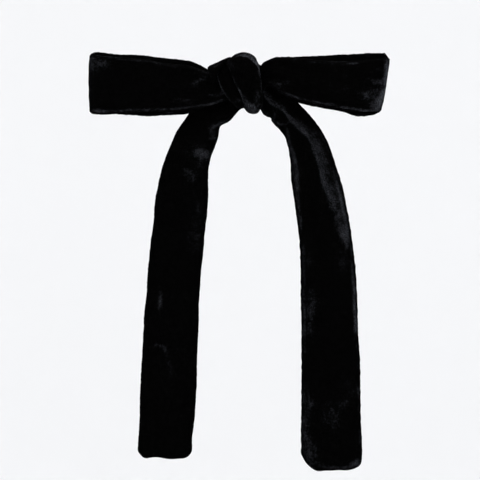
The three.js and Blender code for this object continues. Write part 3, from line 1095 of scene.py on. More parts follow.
LEFT_LOOP = BowLoop(
    name="velvet_left_loop",
    node="left_loop",
    side=Side.LEFT,
    number=1,
    finish=LOOP_VELVET,
    hold=Hold.FOLDED,
    rests_on=("knot_front_pleat",),
    front_y=-68.6,
    nicks=(Nick(-68.2, 14.0, 1.4, -0.8), Nick(-68.2, -13.2, 1.4, -0.6)),
    rows=Rows(
        "x y z half lean cup gather",
        (
            (0.6, -69.5, 0.2, 7.0, 0, 0, 0),
            (-5.0, -69.5, -1.0, 5.3, 0, 0, 0),
            (-10.5, -69.6, -2.1, 6.4, 0, 0, 0.1),
            (-15.0, -70.9, -1.9, 7.8, 0, 0.4, 0.6),
            (-21.0, -72.4, -1.8, 9.4, 0, 0.8, 0.5),
            (-30, -73.9, -1.6, 10.4, 0, 1.2, 0.2),
            (-42, -74.9, -0.9, 11.6, 0, 1.4, 0),
            (-54, -74.6, -0.45, 12.45, 0, 1.1, 0),
            (-63.0, -72.7, -0.15, 12.85, 0, 0.6, 0),
            (-67.2, -68.4, 0.6, 13.6, 0, 0.2, 0),
            (-64.5, -64.2, 0.7, 14.2, 0, 0.1, 0),
            (-56, -63.6, 0.45, 13.6, 0, -0.2, 0),
            (-42, -65.4, -0.4, 13.55, 0, -0.3, 0),
            (-31, -67.1, -0.95, 12.8, 0, -0.3, 0.1),
            (-23, -67.8, -1.2, 11.7, 0, -0.2, 0.2),
            (-17, -67.6, -0.9, 9.3, 0, 0, 0.2),
            (-10.5, -67.1, -0.8, 5.8, 0, 0, 0.1),
            (-5.0, -67.1, -1.0, 5.3, 0, 0, 0),
            (0.6, -67.1, 0.2, 7.0, 0, 0, 0),
        ),
    ),
    # Folds with light paint highlights into the pile's colour along ridges and rolled edges, partly pile that
    # lies over; folds with only height shape the cloth.
    folds=(
        FoldLine(((-67.5, 7.0, 5.0, 1), (-67.5, 2.5, 5.0, 1)), light=0.0, height=0.35, through=True),
        FoldLine(((-66.6, 12.2, 1.6, 0.25), (-66.0, 8.5, 2.8, 0.34), (-61.6, 8.9, 2.4, 0.24))),
        FoldLine(((-67.2, 10.0, 1.2, 0.22), (-67.4, 3.0, 1.3, 0.14), (-67.2, -5.0, 1.1, 0.1))),
        FoldLine(
            (
                (-65.2, 12.8, 0.4, 0.3), (-61.2, 12.3, 0.4, 0.3), (-56.7, 11.7, 0.35, 0.28),
                (-51.3, 11.0, 0.35, 0.3), (-46.8, 10.6, 0.35, 0.32), (-41.4, 10.0, 0.35, 0.3),
                (-36.9, 9.2, 0.35, 0.28), (-34.2, 8.4, 0.35, 0.3), (-29.7, 8.1, 0.35, 0.24),
                (-26.1, 7.8, 0.35, 0.1),
            )
        ),
        FoldLine(
            (
                (-66.6, -11.7, 0.55, 0.4), (-63.5, -12.1, 0.55, 0.46), (-59.0, -12.2, 0.5, 0.44),
                (-56.2, -12.1, 0.45, 0.2), (-53.1, -12.0, 0.45, 0.38), (-47.7, -11.7, 0.5, 0.44),
                (-42.3, -11.7, 0.5, 0.42), (-36.9, -11.5, 0.45, 0.4), (-31.9, -11.3, 0.42, 0.38),
                (-25.2, -10.8, 0.4, 0.36), (-22.9, -10.3, 0.4, 0.36), (-16.2, -9.3, 0.4, 0.48),
                (-11.7, -8.4, 0.4, 0.52), (-8.1, -7.4, 0.4, 0.34),
            )
        ),
        FoldLine(((-29.2, -7.2, 1.2, 0.2), (-22.5, -7.9, 1.3, 0.2))),
        FoldLine(
            (
                (-14.0, 6.1, 0.7, 0.25), (-17.1, 2.2, 1.0, 0.42), (-19.8, 0.5, 1.0, 0.35),
                (-23.4, -1.4, 0.9, 0.1),
            )
        ),
        FoldLine(
            ((-12.0, 5.0, 1.2, 1), (-17.1, 2.2, 1.5, 1), (-25.0, -1.8, 2.0, 0.2)),
            light=0.0,
            height=0.7,
        ),
        FoldLine(
            ((-11.5, 1.5, 1.0, 1), (-17.0, -1.5, 1.4, 0.8), (-24.0, -4.5, 1.8, 0.1)),
            light=0.0,
            height=-0.5,
        ),
        FoldLine(
            ((-14.8, -4.5, 0.4, 0.2), (-12.6, -4.6, 0.4, 0.35), (-11.2, -5.4, 0.4, 0.3)),
            light=1.0,
            height=0.3,
        ),
        FoldLine(((-11.2, -4.6, 0.5, 0.3), (-7.7, -3.8, 0.6, 0.45)), light=1.0, height=0.3),
    ),
)

RIGHT_LOOP = BowLoop(
    name="velvet_right_loop",
    node="right_loop",
    side=Side.RIGHT,
    number=2,
    finish=LOOP_VELVET,
    hold=Hold.FOLDED,
    rests_on=("knot_front_pleat",),
    front_y=-68.2,
    nicks=(
        Nick(66.9, 13.2, 1.3, -1.7),
        Nick(64.6, 14.3, 1.0, 0.35),
        Nick(64.6, -11.6, 1.3, 0.6),
        Nick(8.7, 9.6, 0.9, -1.3),
    ),
    rows=Rows(
        "x y z half lean cup gather",
        (
            (1.2, -69.5, 0.9, 7.9, 0, 0, 0),
            (6.5, -69.5, -0.2, 9.0, 0, 0, 0),
            (11.5, -69.9, 5.1, 5.8, 0, 0.1, 0.3),
            (17.0, -71.2, 4.9, 7.6, 0, 0.5, 0.7),
            (24.5, -72.7, 2.55, 9.35, 0, 0.9, 0.5),
            (33, -74.1, 0.75, 9.85, 0.03, 1.2, 0.25),
            (44, -75.0, -0.4, 10.6, 0.06, 1.4, 0),
            (54, -74.5, -1.0, 11.5, 0.1, 1.1, 0),
            (60.9, -72.5, -0.45, 12.05, 0.15, 0.6, 0),
            (64.2, -68.4, 0.5, 12.6, 0.16, 0.2, 0),
            (61.7, -64.2, 0.6, 13.9, 0.14, 0.1, 0),
            (54, -63.6, 0.2, 14.0, 0.08, -0.2, 0),
            (44, -65.2, 1.1, 12.7, 0.05, -0.3, 0),
            (33, -67.0, 1.6, 11.4, 0.02, -0.3, 0.1),
            (24, -67.8, 2.5, 10.0, 0, -0.2, 0.2),
            (17, -67.7, 4.7, 7.8, 0, 0, 0.2),
            (11.5, -67.2, 4.8, 5.7, 0, 0, 0.1),
            (6.5, -67.1, 0.0, 8.9, 0, 0, 0),
            (1.2, -67.1, 0.9, 7.6, 0, 0, 0),
        ),
    ),
    # Folds with light paint highlights into the pile's colour along ridges and rolled edges, partly pile that
    # lies over; folds with only height shape the cloth.
    folds=(
        FoldLine(
            (
                (32.9, 11.2, 0.3, 0.16), (37.8, 10.5, 0.35, 0.22), (42.3, 10.3, 0.35, 0.24),
                (47.2, 9.9, 0.35, 0.2), (51.3, 10.3, 0.35, 0.12), (54.0, 10.8, 0.35, 0.16),
                (58.1, 11.2, 0.35, 0.18), (62.6, 11.2, 0.35, 0.2), (64.4, 10.6, 0.35, 0.22),
            )
        ),
        FoldLine(
            (
                (65.5, 10.3, 0.7, 0.5), (65.4, 6.8, 0.9, 0.8), (65.0, 2.9, 0.8, 0.7),
                (64.5, -1.0, 0.9, 0.65), (63.6, -4.5, 1.1, 0.85), (62.2, -7.7, 1.7, 0.9),
                (61.0, -10.4, 1.5, 0.8),
            ),
            light=1.15,
        ),
        FoldLine(((56.7, 1.8, 1.0, 0.16), (60.3, 0.9, 1.2, 0.28), (63.0, 0.5, 1.2, 0.42))),
        FoldLine(((61.2, 6.3, 0.8, 0.2), (63.5, 5.9, 0.9, 0.42))),
        FoldLine(((52.6, -4.0, 1.2, 0.2), (55.4, -5.0, 1.3, 0.32), (60.8, -3.6, 1.4, 0.42))),
        FoldLine(((54.9, -6.3, 1.2, 0.26), (59.9, -5.9, 1.5, 0.5))),
        FoldLine(((56.2, -9.9, 1.3, 0.16), (59.0, -9.5, 1.8, 0.52))),
        FoldLine(
            (
                (11.0, -0.5, 0.4, 0.2), (14.4, -2.1, 0.4, 0.44), (17.6, -3.6, 0.42, 0.5),
                (20.7, -4.7, 0.42, 0.46), (25.2, -6.3, 0.4, 0.4), (28.8, -7.3, 0.4, 0.32),
                (35.5, -8.9, 0.42, 0.2), (42.3, -10.2, 0.46, 0.34), (49.0, -11.0, 0.48, 0.36),
                (52.6, -11.7, 0.52, 0.44), (55.8, -12.2, 0.6, 0.6), (59.0, -12.4, 0.8, 0.7),
            )
        ),
        FoldLine(((14.0, 0.2, 0.7, 0.18), (17.6, 0.2, 1.3, 0.22), (21.2, 1.1, 1.3, 0.18))),
        FoldLine(((18.9, 0.5, 0.7, 0.2), (18.9, -1.8, 0.6, 0.2))),
        FoldLine(((12.0, 0.6, 0.9, 1), (19.0, 0.4, 1.3, 1), (30.0, -1.8, 2.0, 0.2)), light=0.0, height=0.6),
        FoldLine(
            ((12.0, 4.0, 1.0, 1), (20.0, 4.4, 1.5, 0.8), (30.0, 3.5, 2.0, 0.1)),
            light=0.0,
            height=-0.45,
        ),
        FoldLine(((37.8, -1.4, 1.6, 0.1), (46.8, -3.1, 1.8, 0.14))),
        FoldLine(((45.5, 3.6, 0.5, 0.25), (46.4, 3.4, 0.5, 0.25))),
    ),
)

LEFT_TAIL = HangingTail(
    name="velvet_left_tail",
    node="left_tail",
    number=3,
    finish=TAIL_VELVET,
    hold=Hold.HUNG,
    rests_on=("knot_front_pleat",),
    left_corner=4.4,
    right_corner=4.6,
    nicks=(
        Nick(-9.1, -18.4, 1.3, -0.35), Nick(-15.2, -48.0, 5.0, 0.3), Nick(-21.4, -158.5, 4.5, -0.5),
        Nick(-46.0, -163.5, 4.0, 0.45),
    ),
    rim_light=0.07,
    rows=Rows(
        "leftX leftZ rightX rightZ y cup ridge ridgeAt",
        (
            (0.4, 9.0, 0.4, -10.4, -64.7, 0, 0, 0.5),
            (-5.8, 4.8, -1.0, -11.4, -64.7, 0, 0, 0.5),
            (-11.9, 2.0, -2.9, -13.4, -64.4, 0, 0.2, 0.5),
            (-17.2, -3.9, -5.2, -16.1, -63.9, 0.1, 0.5, 0.5),
            (-21.9, -10.1, -8.5, -18.0, -63.8, 0.4, 0.9, 0.55),
            (-25.3, -15.4, -9.8, -19.9, -64.0, 0.8, 1.3, 0.6),
            (-29.0, -20.7, -10.4, -23.4, -64.2, 1.0, 1.4, 0.6),
            (-31.6, -25.8, -11.6, -27.4, -64.3, 1.0, 1.1, 0.55),
            (-33.7, -31.4, -13.4, -32.6, -64.5, 1.0, 0.7, 0.5),
            (-35.5, -37.2, -14.5, -38.4, -64.7, 1.0, 0.3, 0.5),
            (-37.0, -44, -14.9, -44.5, -64.9, 0.9, 0, 0.5),
            (-38.7, -53, -15.0, -53, -65.2, 0.8, 0, 0),
            (-39.9, -64, -15.9, -64, -65.6, 0.6, 0, 0),
            (-41.4, -79, -17.6, -79, -66.0, 0.5, 0, 0),
            (-43.0, -97, -18.8, -97, -66.2, 0.5, 0.2, -0.3),
            (-44.2, -116, -19.5, -116, -66.2, 0.4, 0.3, -0.3),
            (-45.2, -136, -20.1, -136, -66.4, 0.3, 0.1, -0.3),
            (-45.8, -154, -21.0, -154, -66.9, 0.2, 0, 0),
            (-46.2, -167.6, -22.5, -168.1, -67.4, 0.1, 0, 0),
        ),
    ),
    # Folds with light paint highlights into the pile's colour along ridges and rolled edges, partly pile that
    # lies over; folds with light and height also shape the cloth.
    folds=(
        FoldLine(
            ((-5.4, -15.5, 0.5, 0.3), (-9.5, -17.3, 0.5, 0.7), (-12.2, -18.7, 0.6, 0.7)),
            light=0.6,
            height=0.5,
        ),
        FoldLine(
            ((-12.2, -18.7, 1.0, 0.7), (-13.3, -20.2, 1.2, 0.75), (-12.8, -22.5, 1.2, 0.6)),
            light=0.5,
            height=1.0,
        ),
        FoldLine(((-14.4, -24.5, 0.5, 0.3), (-11.7, -23.9, 0.5, 0.4)), light=1.0, height=0.6),
        FoldLine(((-16.5, -26.3, 0.7, 1), (-11.0, -25.6, 0.6, 1)), light=0.0, height=-0.6),
        FoldLine(
            ((-23.6, -30.2, 2.0, 0.3), (-19.2, -30.7, 2.1, 0.7), (-15.6, -31.5, 1.8, 0.7)),
            light=0.6,
            height=0.5,
            haze=0.4,
        ),
        FoldLine(((-18.0, -31.0, 1.6, 0.65), (-18.9, -36.2, 1.3, 0.45)), light=0.6, height=0.3),
        FoldLine(((-25.2, -38.9, 1.8, 0.18), (-23.0, -40.3, 2.6, 0.29))),
        FoldLine(((-21.2, -40.5, 0.4, 0.55), (-21.6, -42.8, 0.4, 0.5))),
        FoldLine(((-19.8, -53.0, 1.6, 0.2), (-18.8, -57.5, 2.0, 0.2), (-18.4, -62.0, 2.0, 0.14)), haze=0.5),
        FoldLine(((-20.4, -62.6, 2.4, 0.18), (-21.2, -67.0, 2.8, 0.23), (-21.6, -74.0, 2.8, 0.17)), haze=0.5),
        FoldLine(((-36.0, -93.2, 0.6, 0.3), (-36.2, -96.8, 0.8, 0.5), (-36.5, -100.4, 0.7, 0.4))),
        FoldLine(
            (
                (-39.1, -117.0, 0.8, 0.22), (-35.1, -117.5, 0.9, 0.34), (-32.9, -121.5, 0.9, 0.22),
                (-31.5, -128.2, 1.0, 0.3), (-31.2, -131.4, 0.9, 0.15),
            ),
            light=1.0,
            height=0.3,
        ),
    ),
)

RIGHT_TAIL = HangingTail(
    name="velvet_right_tail",
    node="right_tail",
    number=4,
    finish=TAIL_VELVET,
    hold=Hold.HUNG,
    rests_on=("knot_front_pleat",),
    left_corner=8.8,
    right_corner=4.8,
    nicks=(
        Nick(12.9, -15.1, 1.0, -0.7), Nick(10.3, -13.0, 1.5, 0.6), Nick(15.3, -18.0, 1.2, 0.25),
        Nick(27.3, -165.5, 2.2, 0.3),
    ),
    rows=Rows(
        "leftX leftZ rightX rightZ y cup ridge ridgeAt",
        (
            (1.4, -10.0, 1.4, 10.0, -64.7, 0, 0, 0.2),
            (4.6, -10.1, 7.6, 9.5, -64.7, 0, 0, 0.2),
            (7.5, -10.2, 14.4, 4.4, -64.5, 0, 0.1, 0.15),
            (9.8, -12.3, 20.0, -1.2, -64.0, 0.1, 0.7, 0.1),
            (12.6, -14.9, 25.2, -7.5, -63.9, 0.2, 1.5, 0.05),
            (15.4, -17.9, 30.2, -12.6, -64.0, 0.3, 2.1, 0.05),
            (17.9, -20.7, 34.6, -18.0, -64.2, 0.4, 2.4, 0.1),
            (19.9, -24.0, 38.0, -23.8, -64.5, 0.5, 2.3, 0.2),
            (21.0, -28.8, 40.6, -29.6, -64.8, 0.5, 2.0, 0.3),
            (22.2, -35.2, 43.1, -36.4, -65.1, 0.5, 1.7, 0.4),
            (22.7, -43.0, 45.4, -44.2, -65.4, 0.5, 1.3, 0.45),
            (24.0, -52.0, 47.4, -53.0, -65.7, 0.5, 1.0, 0.5),
            (25.3, -62.0, 49.1, -62.0, -66.0, 0.5, 0.7, 0.5),
            (26.6, -74.0, 50.6, -74.0, -66.3, 0.5, 0.4, 0.5),
            (26.9, -90, 51.9, -90, -66.4, 0.5, 0.1, 0.5),
            (27.0, -108, 52.6, -108, -66.4, 0.4, 0, 0),
            (27.1, -128, 53.5, -128, -66.5, 0.4, 0, 0),
            (27.1, -148, 54.0, -148, -66.8, 0.3, 0, 0),
            (27.1, -162, 54.6, -162, -67.2, 0.2, 0, 0),
            (27.4, -173.4, 54.5, -173.1, -67.6, 0, 0, 0),
        ),
    ),
    # Folds with light paint highlights into the pile's colour along ridges and rolled edges, partly pile that
    # lies over; folds with only height shape the cloth.
    folds=(
        FoldLine(
            (
                (9.9, -2.5, 0.9, 0.55), (10.8, -5.5, 1.4, 0.6), (13.3, -8.4, 1.6, 0.62),
                (16.0, -9.9, 1.5, 0.6), (18.8, -11.4, 1.2, 0.55), (20.4, -13.6, 1.1, 0.5),
                (22.0, -16.2, 1.5, 0.55), (25.9, -19.8, 2.2, 0.55), (30.4, -23.8, 2.7, 0.5),
                (32.4, -28.4, 3.0, 0.45), (35.0, -34.9, 3.1, 0.5), (36.9, -44.0, 3.4, 0.5),
                (38.9, -49.2, 3.4, 0.5), (40.4, -54.6, 3.2, 0.48), (42.6, -58.0, 2.2, 0.3),
            ),
            haze=0.15,
            hard_side=-1,
        ),
        FoldLine(
            (
                (43.6, -56.5, 1.4, 0.4), (44.8, -61.0, 1.7, 0.55), (45.6, -65.5, 1.6, 0.62),
                (46.8, -70.0, 1.2, 0.66), (47.6, -73.0, 0.8, 0.4),
            )
        ),
        FoldLine(
            (
                (41.4, -38.2, 0.5, 0.35), (43.6, -45.9, 0.5, 0.6), (45.5, -54.0, 0.6, 0.7),
                (47.2, -63.0, 0.7, 0.7), (48.1, -69.8, 0.7, 0.6),
            )
        ),
        FoldLine(
            (
                (20.6, -19.3, 0.5, 0.4), (21.3, -22.2, 0.5, 0.45), (22.3, -27.3, 0.45, 0.3),
                (23.6, -30.2, 0.5, 0.4), (24.3, -34.2, 0.7, 0.5), (25.0, -40.2, 0.9, 0.5),
                (25.2, -46.3, 0.8, 0.5), (25.7, -49.8, 0.5, 0.4), (26.0, -54.8, 0.5, 0.4),
                (26.6, -59.8, 0.6, 0.45), (27.0, -64.8, 0.5, 0.4),
            )
        ),
        FoldLine(
            (
                (15.7, -11.4, 1.3, 0.28), (14.9, -13.6, 1.1, 0.34), (14.9, -15.6, 0.6, 0.24),
                (17.2, -17.9, 0.5, 0.34), (20.2, -17.5, 0.5, 0.42), (22.3, -16.7, 0.4, 0.32),
            ),
            light=1.0,
            height=0.9,
        ),
        FoldLine(
            ((17.0, -19.0, 0.6, 0.8), (20.5, -18.6, 0.6, 0.9), (23.5, -17.8, 0.5, 0.3)),
            light=0.0,
            height=-0.7,
        ),
        FoldLine(((45.0, -74.2, 1.6, 0.2), (45.9, -79.7, 2.2, 0.25), (46.8, -86.0, 1.8, 0.12))),
        FoldLine(((29.6, -74.6, 1.5, 0.14), (30.2, -79.5, 1.8, 0.22), (30.0, -86.0, 1.4, 0.1))),
        FoldLine(
            (
                (49.7, -79.7, 0.45, 0.4), (50.2, -86.3, 0.5, 0.6), (50.9, -91.4, 0.5, 0.7),
                (50.9, -99.0, 0.5, 0.75), (51.6, -107.1, 0.5, 0.8), (51.4, -113.9, 0.5, 0.5),
            )
        ),
        FoldLine(
            (
                (31.1, -92.7, 1.2, 0.2), (31.8, -96.8, 1.7, 0.4), (31.4, -102.6, 1.6, 0.28),
                (30.8, -110.2, 1.5, 0.3), (31.1, -117.0, 1, 0.1),
            )
        ),
        FoldLine(
            (
                (28.0, -72.0, 0.5, 0.35), (28.4, -84.6, 0.5, 0.3), (28.3, -95.3, 0.5, 0.3),
                (28.7, -110.2, 0.6, 0.4), (28.7, -122.0, 0.5, 0.2),
            )
        ),
        FoldLine(
            (
                (28.8, -135.0, 0.8, 0.16), (30.6, -139.5, 1.5, 0.24), (31.3, -143.0, 1.5, 0.38),
                (29.4, -148.1, 1.5, 0.3), (28.8, -155.2, 1.5, 0.3), (29.9, -162.9, 2.0, 0.4),
                (31.1, -166.5, 2, 0.42),
            ),
            haze=0.45,
        ),
        FoldLine(
            (
                (31.8, -169.4, 1, 0.35), (37.8, -171.8, 0.7, 0.35), (46.8, -172.1, 0.7, 0.4),
                (52.0, -169.6, 1.2, 0.5),
            )
        ),
        FoldLine(((40.1, -143.6, 1.5, 0.2), (41.2, -147.2, 2.2, 0.3), (42.1, -152.6, 2.1, 0.26))),
        FoldLine(((44.6, -144.0, 1.8, 0.28), (49.1, -141.3, 1.5, 0.2))),
        FoldLine(((37.4, -143.6, 0.8, 0.2), (37.8, -151.5, 0.9, 0.22))),
        FoldLine(((47.7, -131.8, 2.2, 0.16), (49.8, -138.2, 2.2, 0.2))),
    ),
)

FRONT_PLEAT = WrapPleat(
    name="velvet_knot_front",
    node="knot_front_pleat",
    number=5,
    finish=KNOT_VELVET,
    hold=Hold.GATHERED,
    rests_on=("left_loop", "right_loop"),
    cut_width=14.0,
    front_y=-66.0,
    rows=Rows(
        "x y z half puff roll",
        (
            (3.2, -74.8, 0.4, 5.9, 1.7, 0),
            (1.8, -74.8, 5.2, 6.7, 1.8, 3),
            (0.9, -73.5, 9.2, 7.2, 1.8, 4),
            (1.4, -70.2, 11.5, 5.6, 1.7, 6),
            (1.5, -65.2, 11.9, 5.4, 1.4, 5),
            (2.2, -60.6, 10.3, 5.3, 0.8, 3),
            (2.8, -57.3, 6.5, 5.3, 0.5, 0),
            (3.4, -56.8, 0.4, 5.3, 0.5, 0),
            (4.1, -56.9, -6.2, 4.8, 0.5, 0),
            (4.8, -59.4, -9.6, 3.7, 0.4, 0),
            (5.2, -64.7, -11.3, 2.9, 0.5, 6),
            (5.3, -70.8, -10.9, 3.5, 0.9, 2),
            (5.4, -74.1, -8.8, 4.3, 1.2, 0),
            (4.6, -74.9, -4.6, 4.9, 1.7, 0),
        ),
        closed=True,
    ),
    # These folds only paint highlights into the pile's colour, partly pile that lies over.
    folds=(
        FoldLine(
            (
                (-5.9, 8.6, 0.45, 0.2), (-5.0, 5.3, 0.35, 0.25), (-2.8, 0.8, 0.35, 0.3),
                (-0.4, -3.7, 0.4, 0.45), (1.1, -8.1, 0.5, 0.6),
            )
        ),
        FoldLine(
            (
                (1.4, -6.3, 1, 0.3), (3.0, -9.3, 1.5, 0.45), (5.4, -11.6, 2.0, 0.5),
                (7.4, -9.2, 1.4, 0.4), (7.9, -4.0, 1.1, 0.2),
            )
        ),
        FoldLine(
            (
                (8.2, 5.6, 0.4, 0.6), (8.8, 1.5, 0.3, 0.45), (9.3, -2.2, 0.3, 0.35),
                (9.5, -6.0, 0.3, 0.3),
            )
        ),
        FoldLine(
            (
                (-2.2, 12.0, 0.4, 0.3), (-0.7, 12.6, 0.7, 0.5), (2.8, 12.1, 1.3, 0.65),
                (5.3, 10.4, 1.3, 0.7), (7.3, 8.2, 0.9, 0.8), (8.0, 6.6, 0.6, 0.8),
            ),
            haze=0.12,
            hard_side=-1,
        ),
        FoldLine(((-6.1, 9.2, 1, 0.3), (-4.2, 7.9, 1, 0.25))),
    ),
)

SIDE_PLEAT = WrapPleat(
    name="velvet_knot_side",
    node="knot_side_pleat",
    number=6,
    finish=KNOT_VELVET,
    hold=Hold.GATHERED,
    rests_on=("left_loop",),
    cut_width=10.0,
    front_y=-66.0,
    rows=Rows(
        "x y z half puff roll",
        (
            (-0.4, -67.4, -9.4, 2.0, 0.2, 0),
            (-0.3, -70.4, -9.2, 2.7, 0.4, 0),
            (-1.2, -71.9, -7.2, 4.1, 0.7, 0),
            (-4.2, -72.0, -2.2, 4.6, 0.7, 0),
            (-6.4, -71.9, 3.0, 4.3, 0.7, 0),
            (-7.2, -71.2, 6.0, 3.5, 0.6, -15),
            (-7.0, -68.6, 7.4, 3.0, 0.3, -28),
            (-7.2, -64.5, 7.2, 2.6, 0.3, -28),
            (-6.8, -59.0, 6.6, 2.4, 0.3, -10),
            (-5.7, -56.7, 3.4, 2.4, 0.3, 0),
            (-4.9, -56.7, -1.5, 2.4, 0.3, 0),
            (-3.5, -56.9, -6.0, 2.3, 0.3, 0),
            (-2.3, -58.8, -9.3, 2.1, 0.3, 0),
            (-1.9, -60.8, -9.9, 1.9, 0.3, 0),
        ),
    ),
    # These folds only paint highlights into the pile's colour, partly pile that lies over.
    folds=(
        FoldLine(
            (
                (-8.1, 8.6, 0.5, 0.35), (-10.1, 7.1, 0.45, 0.4), (-10.7, 4.1, 0.4, 0.45),
                (-9.8, 0.4, 0.35, 0.4), (-8.2, -3.0, 0.35, 0.35), (-6.1, -6.0, 0.35, 0.3),
                (-4.2, -8.8, 0.35, 0.3), (-2.2, -10.5, 0.35, 0.25),
            )
        ),
        FoldLine(((-3.6, -8.1, 1.3, 0.2), (-0.5, -7.5, 1.2, 0.2))),
    ),
)

SHOULDER_PLEAT = WrapPleat(
    name="velvet_knot_shoulder",
    node="knot_shoulder_pleat",
    number=7,
    finish=KNOT_VELVET,
    hold=Hold.GATHERED,
    rests_on=("neck_band",),
    cut_width=11.0,
    front_y=-60.0,
    rows=Rows(
        "x y z half puff roll",
        (
            (-10.2, -54.4, 4.6, 4.0, 0.3, -14),
            (-10.2, -55.2, 7.4, 4.8, 0.4, -18),
            (-9.8, -58.2, 9.3, 5.5, 0.4, -23),
            (-9.4, -62.5, 9.95, 5.7, 0.4, -24.5),
            (-9.4, -66.6, 10.0, 5.6, 0.4, -24.5),
            (-10.2, -70.4, 9.35, 5.1, 0.4, -24),
            (-11.4, -72.8, 7.6, 3.6, 0.4, -24),
            (-12.1, -73.7, 5.2, 2.4, 0.3, -24),
            (-12.3, -73.8, 2.9, 1.4, 0.2, -20),
            (-12.0, -73.6, 0.8, 0.6, 0.1, -15),
        ),
    ),
    # This fold only paints a highlight into the pile's colour, partly pile that lies over.
    folds=(FoldLine(((-12.6, 7.2, 0.6, 0.15), (-9.9, 9.0, 0.8, 0.2), (-6.8, 10.8, 0.7, 0.12))),),
)

NECK_BAND = NeckBand(
    name="velvet_neck_band", node="neck_band", number=8, finish=BAND_VELVET, hold=Hold.STRETCHED
)

TIE = (NECK_BAND, LEFT_TAIL, RIGHT_TAIL, LEFT_LOOP, RIGHT_LOOP, FRONT_PLEAT, SIDE_PLEAT, SHOULDER_PLEAT)


@dataclass(frozen=True)
class SoftLight:
    """A soft light that the camera doesn't see. Its place and width are metres."""

    name: str
    place: tuple[float, float, float]
    width: float
    power: float
    colour: tuple[float, float, float] = (1.0, 1.0, 1.0)

    def build(self, aim: Vector) -> bpy.types.Object:
        """Makes the light and turns it to a point.

        Args:
            aim: The point that it shines at.

        Returns:
            The light.
        """
        data = bpy.data.lights.new(self.name, "AREA")
        data.shape = "DISK"
        data.size = self.width
        data.energy = self.power
        data.color = self.colour
        lamp = bpy.data.objects.new(self.name, data)
        lamp.location = self.place
        lamp.rotation_euler = (aim - lamp.location).to_track_quat("-Z", "Y").to_euler()
        lamp.visible_camera = False
        bpy.context.scene.collection.objects.link(lamp)
        return lamp


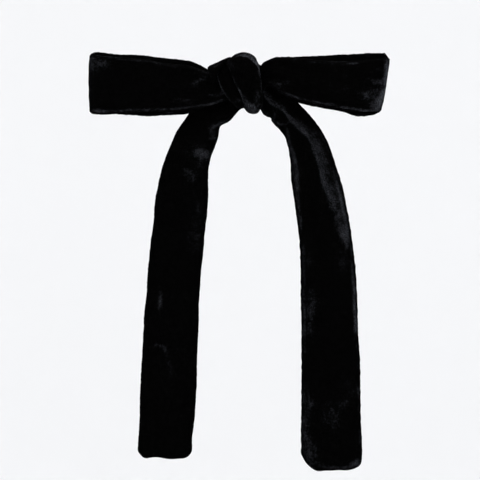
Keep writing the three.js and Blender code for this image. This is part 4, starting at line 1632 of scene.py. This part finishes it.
@dataclass(frozen=True)
class Studio:
    """A pale bowl of a floor that curves up all round, soft lights and the camera.

    Lengths are metres, but the sensor is millimetres and the cove's step is degrees.
    """

    floor_z: float = -1.2
    inner_radius: float = 0.6
    flat_radius: float = 2.2
    cove: float = 0.8
    cove_step: int = 6
    wall_top: float = 2.4
    sides: int = 96
    paper: tuple[float, float, float] = (0.86, 0.863, 0.869)
    paper_shade: float = 0.985
    paper_clouds: tuple[float, float] = (0.3, 0.7)
    paper_roughness: float = 0.9
    paper_specular: float = 0.1
    sky: tuple[float, float, float] = (0.99, 0.99, 0.997)
    sky_strength: float = 1.13
    lights: tuple[SoftLight, ...] = (
        SoftLight("key", place=(-1.1, -1.5, 1.0), width=1.1, power=16.0),
        SoftLight("fill", place=(1.5, -1.3, 0.3), width=1.2, power=8.0),
        SoftLight("top", place=(0.0, 0.1, 1.8), width=1.6, power=11.0),
        SoftLight("rear", place=(0.6, 1.8, 0.9), width=1.4, power=10.0),
    )
    aim: tuple[float, float, float] = (-0.00045, -0.072, -0.06975)
    distance: float = 1.2
    frame_width: float = 0.2149
    sensor: float = 36.0
    clip: tuple[float, float] = (0.05, 30.0)

    def build(self) -> None:
        """Sets up the floor, the light and the camera."""
        self.floor()
        for light in self.lights:
            light.build(Vector(self.aim))
        self.sky_light()
        self.camera()
        bpy.context.scene.view_settings.view_transform = "Standard"

    def profile(self) -> list[tuple[float, float]]:
        """Follows the bowl from its middle to its top.

        Returns:
            Pairs of radius and height.
        """
        turns = [math.radians(a) for a in range(0, 91, self.cove_step)]
        cove = [
            (self.flat_radius + self.cove * math.sin(a), self.floor_z + self.cove * (1.0 - math.cos(a)))
            for a in turns
        ]
        return [(self.inner_radius, self.floor_z), *cove, (self.flat_radius + self.cove, self.wall_top)]

    def floor(self) -> bpy.types.Object:
        """Makes the bowl.

        Returns:
            The bowl.
        """
        made = bmesh.new()
        rings = []
        for radius, height in self.profile():
            turns = [2.0 * math.pi * i / self.sides for i in range(self.sides)]
            ring = [made.verts.new((radius * math.cos(a), radius * math.sin(a), height)) for a in turns]
            rings.append(ring)
        made.faces.new(rings[0])
        for low, high in zip(rings, rings[1:]):
            for i in range(self.sides):
                j = (i + 1) % self.sides
                made.faces.new((low[j], low[i], high[i], high[j]))
        mesh = bpy.data.meshes.new("studio_floor")
        made.to_mesh(mesh)
        made.free()
        mesh.shade_smooth()
        floor = bpy.data.objects.new("studio_floor", mesh)
        bpy.context.scene.collection.objects.link(floor)
        floor.data.materials.append(self.paper_material())
        return floor

    def paper_material(self) -> bpy.types.Material:
        """Makes the pale matt paper of the floor.

        Returns:
            The new material.
        """
        material = bpy.data.materials.new("pale_paper")
        material.use_nodes = True
        sheet = NodeSheet(material.node_tree)
        place = sheet.add("ShaderNodeTexCoord").outputs["Object"]
        cloud = sheet.spread(sheet.noise(place, detail=2.0, rough=0.5), *self.paper_clouds)
        shade = tuple(self.paper_shade * part for part in self.paper)
        colour = sheet.blend(cloud, (*shade, 1.0), (*self.paper, 1.0))
        shader = material.node_tree.nodes["Principled BSDF"]
        sheet.tree.links.new(colour, shader.inputs["Base Color"])
        shader.inputs["Roughness"].default_value = self.paper_roughness
        shader.inputs["Specular IOR Level"].default_value = self.paper_specular
        return material

    def sky_light(self) -> None:
        """Lights the whole scene with a pale sky."""
        world = bpy.data.worlds.new("soft_sky")
        world.use_nodes = True
        background = world.node_tree.nodes["Background"]
        background.inputs["Color"].default_value = (*self.sky, 1.0)
        background.inputs["Strength"].default_value = self.sky_strength
        bpy.context.scene.world = world

    def camera(self) -> bpy.types.Object:
        """Puts the camera level, straight in front, with a long lens.

        Returns:
            The camera.
        """
        data = bpy.data.cameras.new("camera")
        data.sensor_width = self.sensor
        data.lens = self.sensor * self.distance / self.frame_width
        data.clip_start, data.clip_end = self.clip
        camera = bpy.data.objects.new("camera", data)
        camera.location = (self.aim[0], self.aim[1] - self.distance, self.aim[2])
        camera.rotation_euler = (math.pi / 2.0, 0.0, 0.0)
        bpy.context.scene.collection.objects.link(camera)
        bpy.context.scene.camera = camera
        return camera


def main() -> None:
    """Builds the studio and every piece of the tie."""
    logging.basicConfig(level=logging.INFO, format="%(message)s")
    Studio().build()
    effects = PileEffects()
    for part in TIE:
        piece = part.build(effects)
        log.info("%s: %d faces, in place of %s", piece.name, len(piece.data.polygons), part.node)


if __name__ == "__main__":
    main()
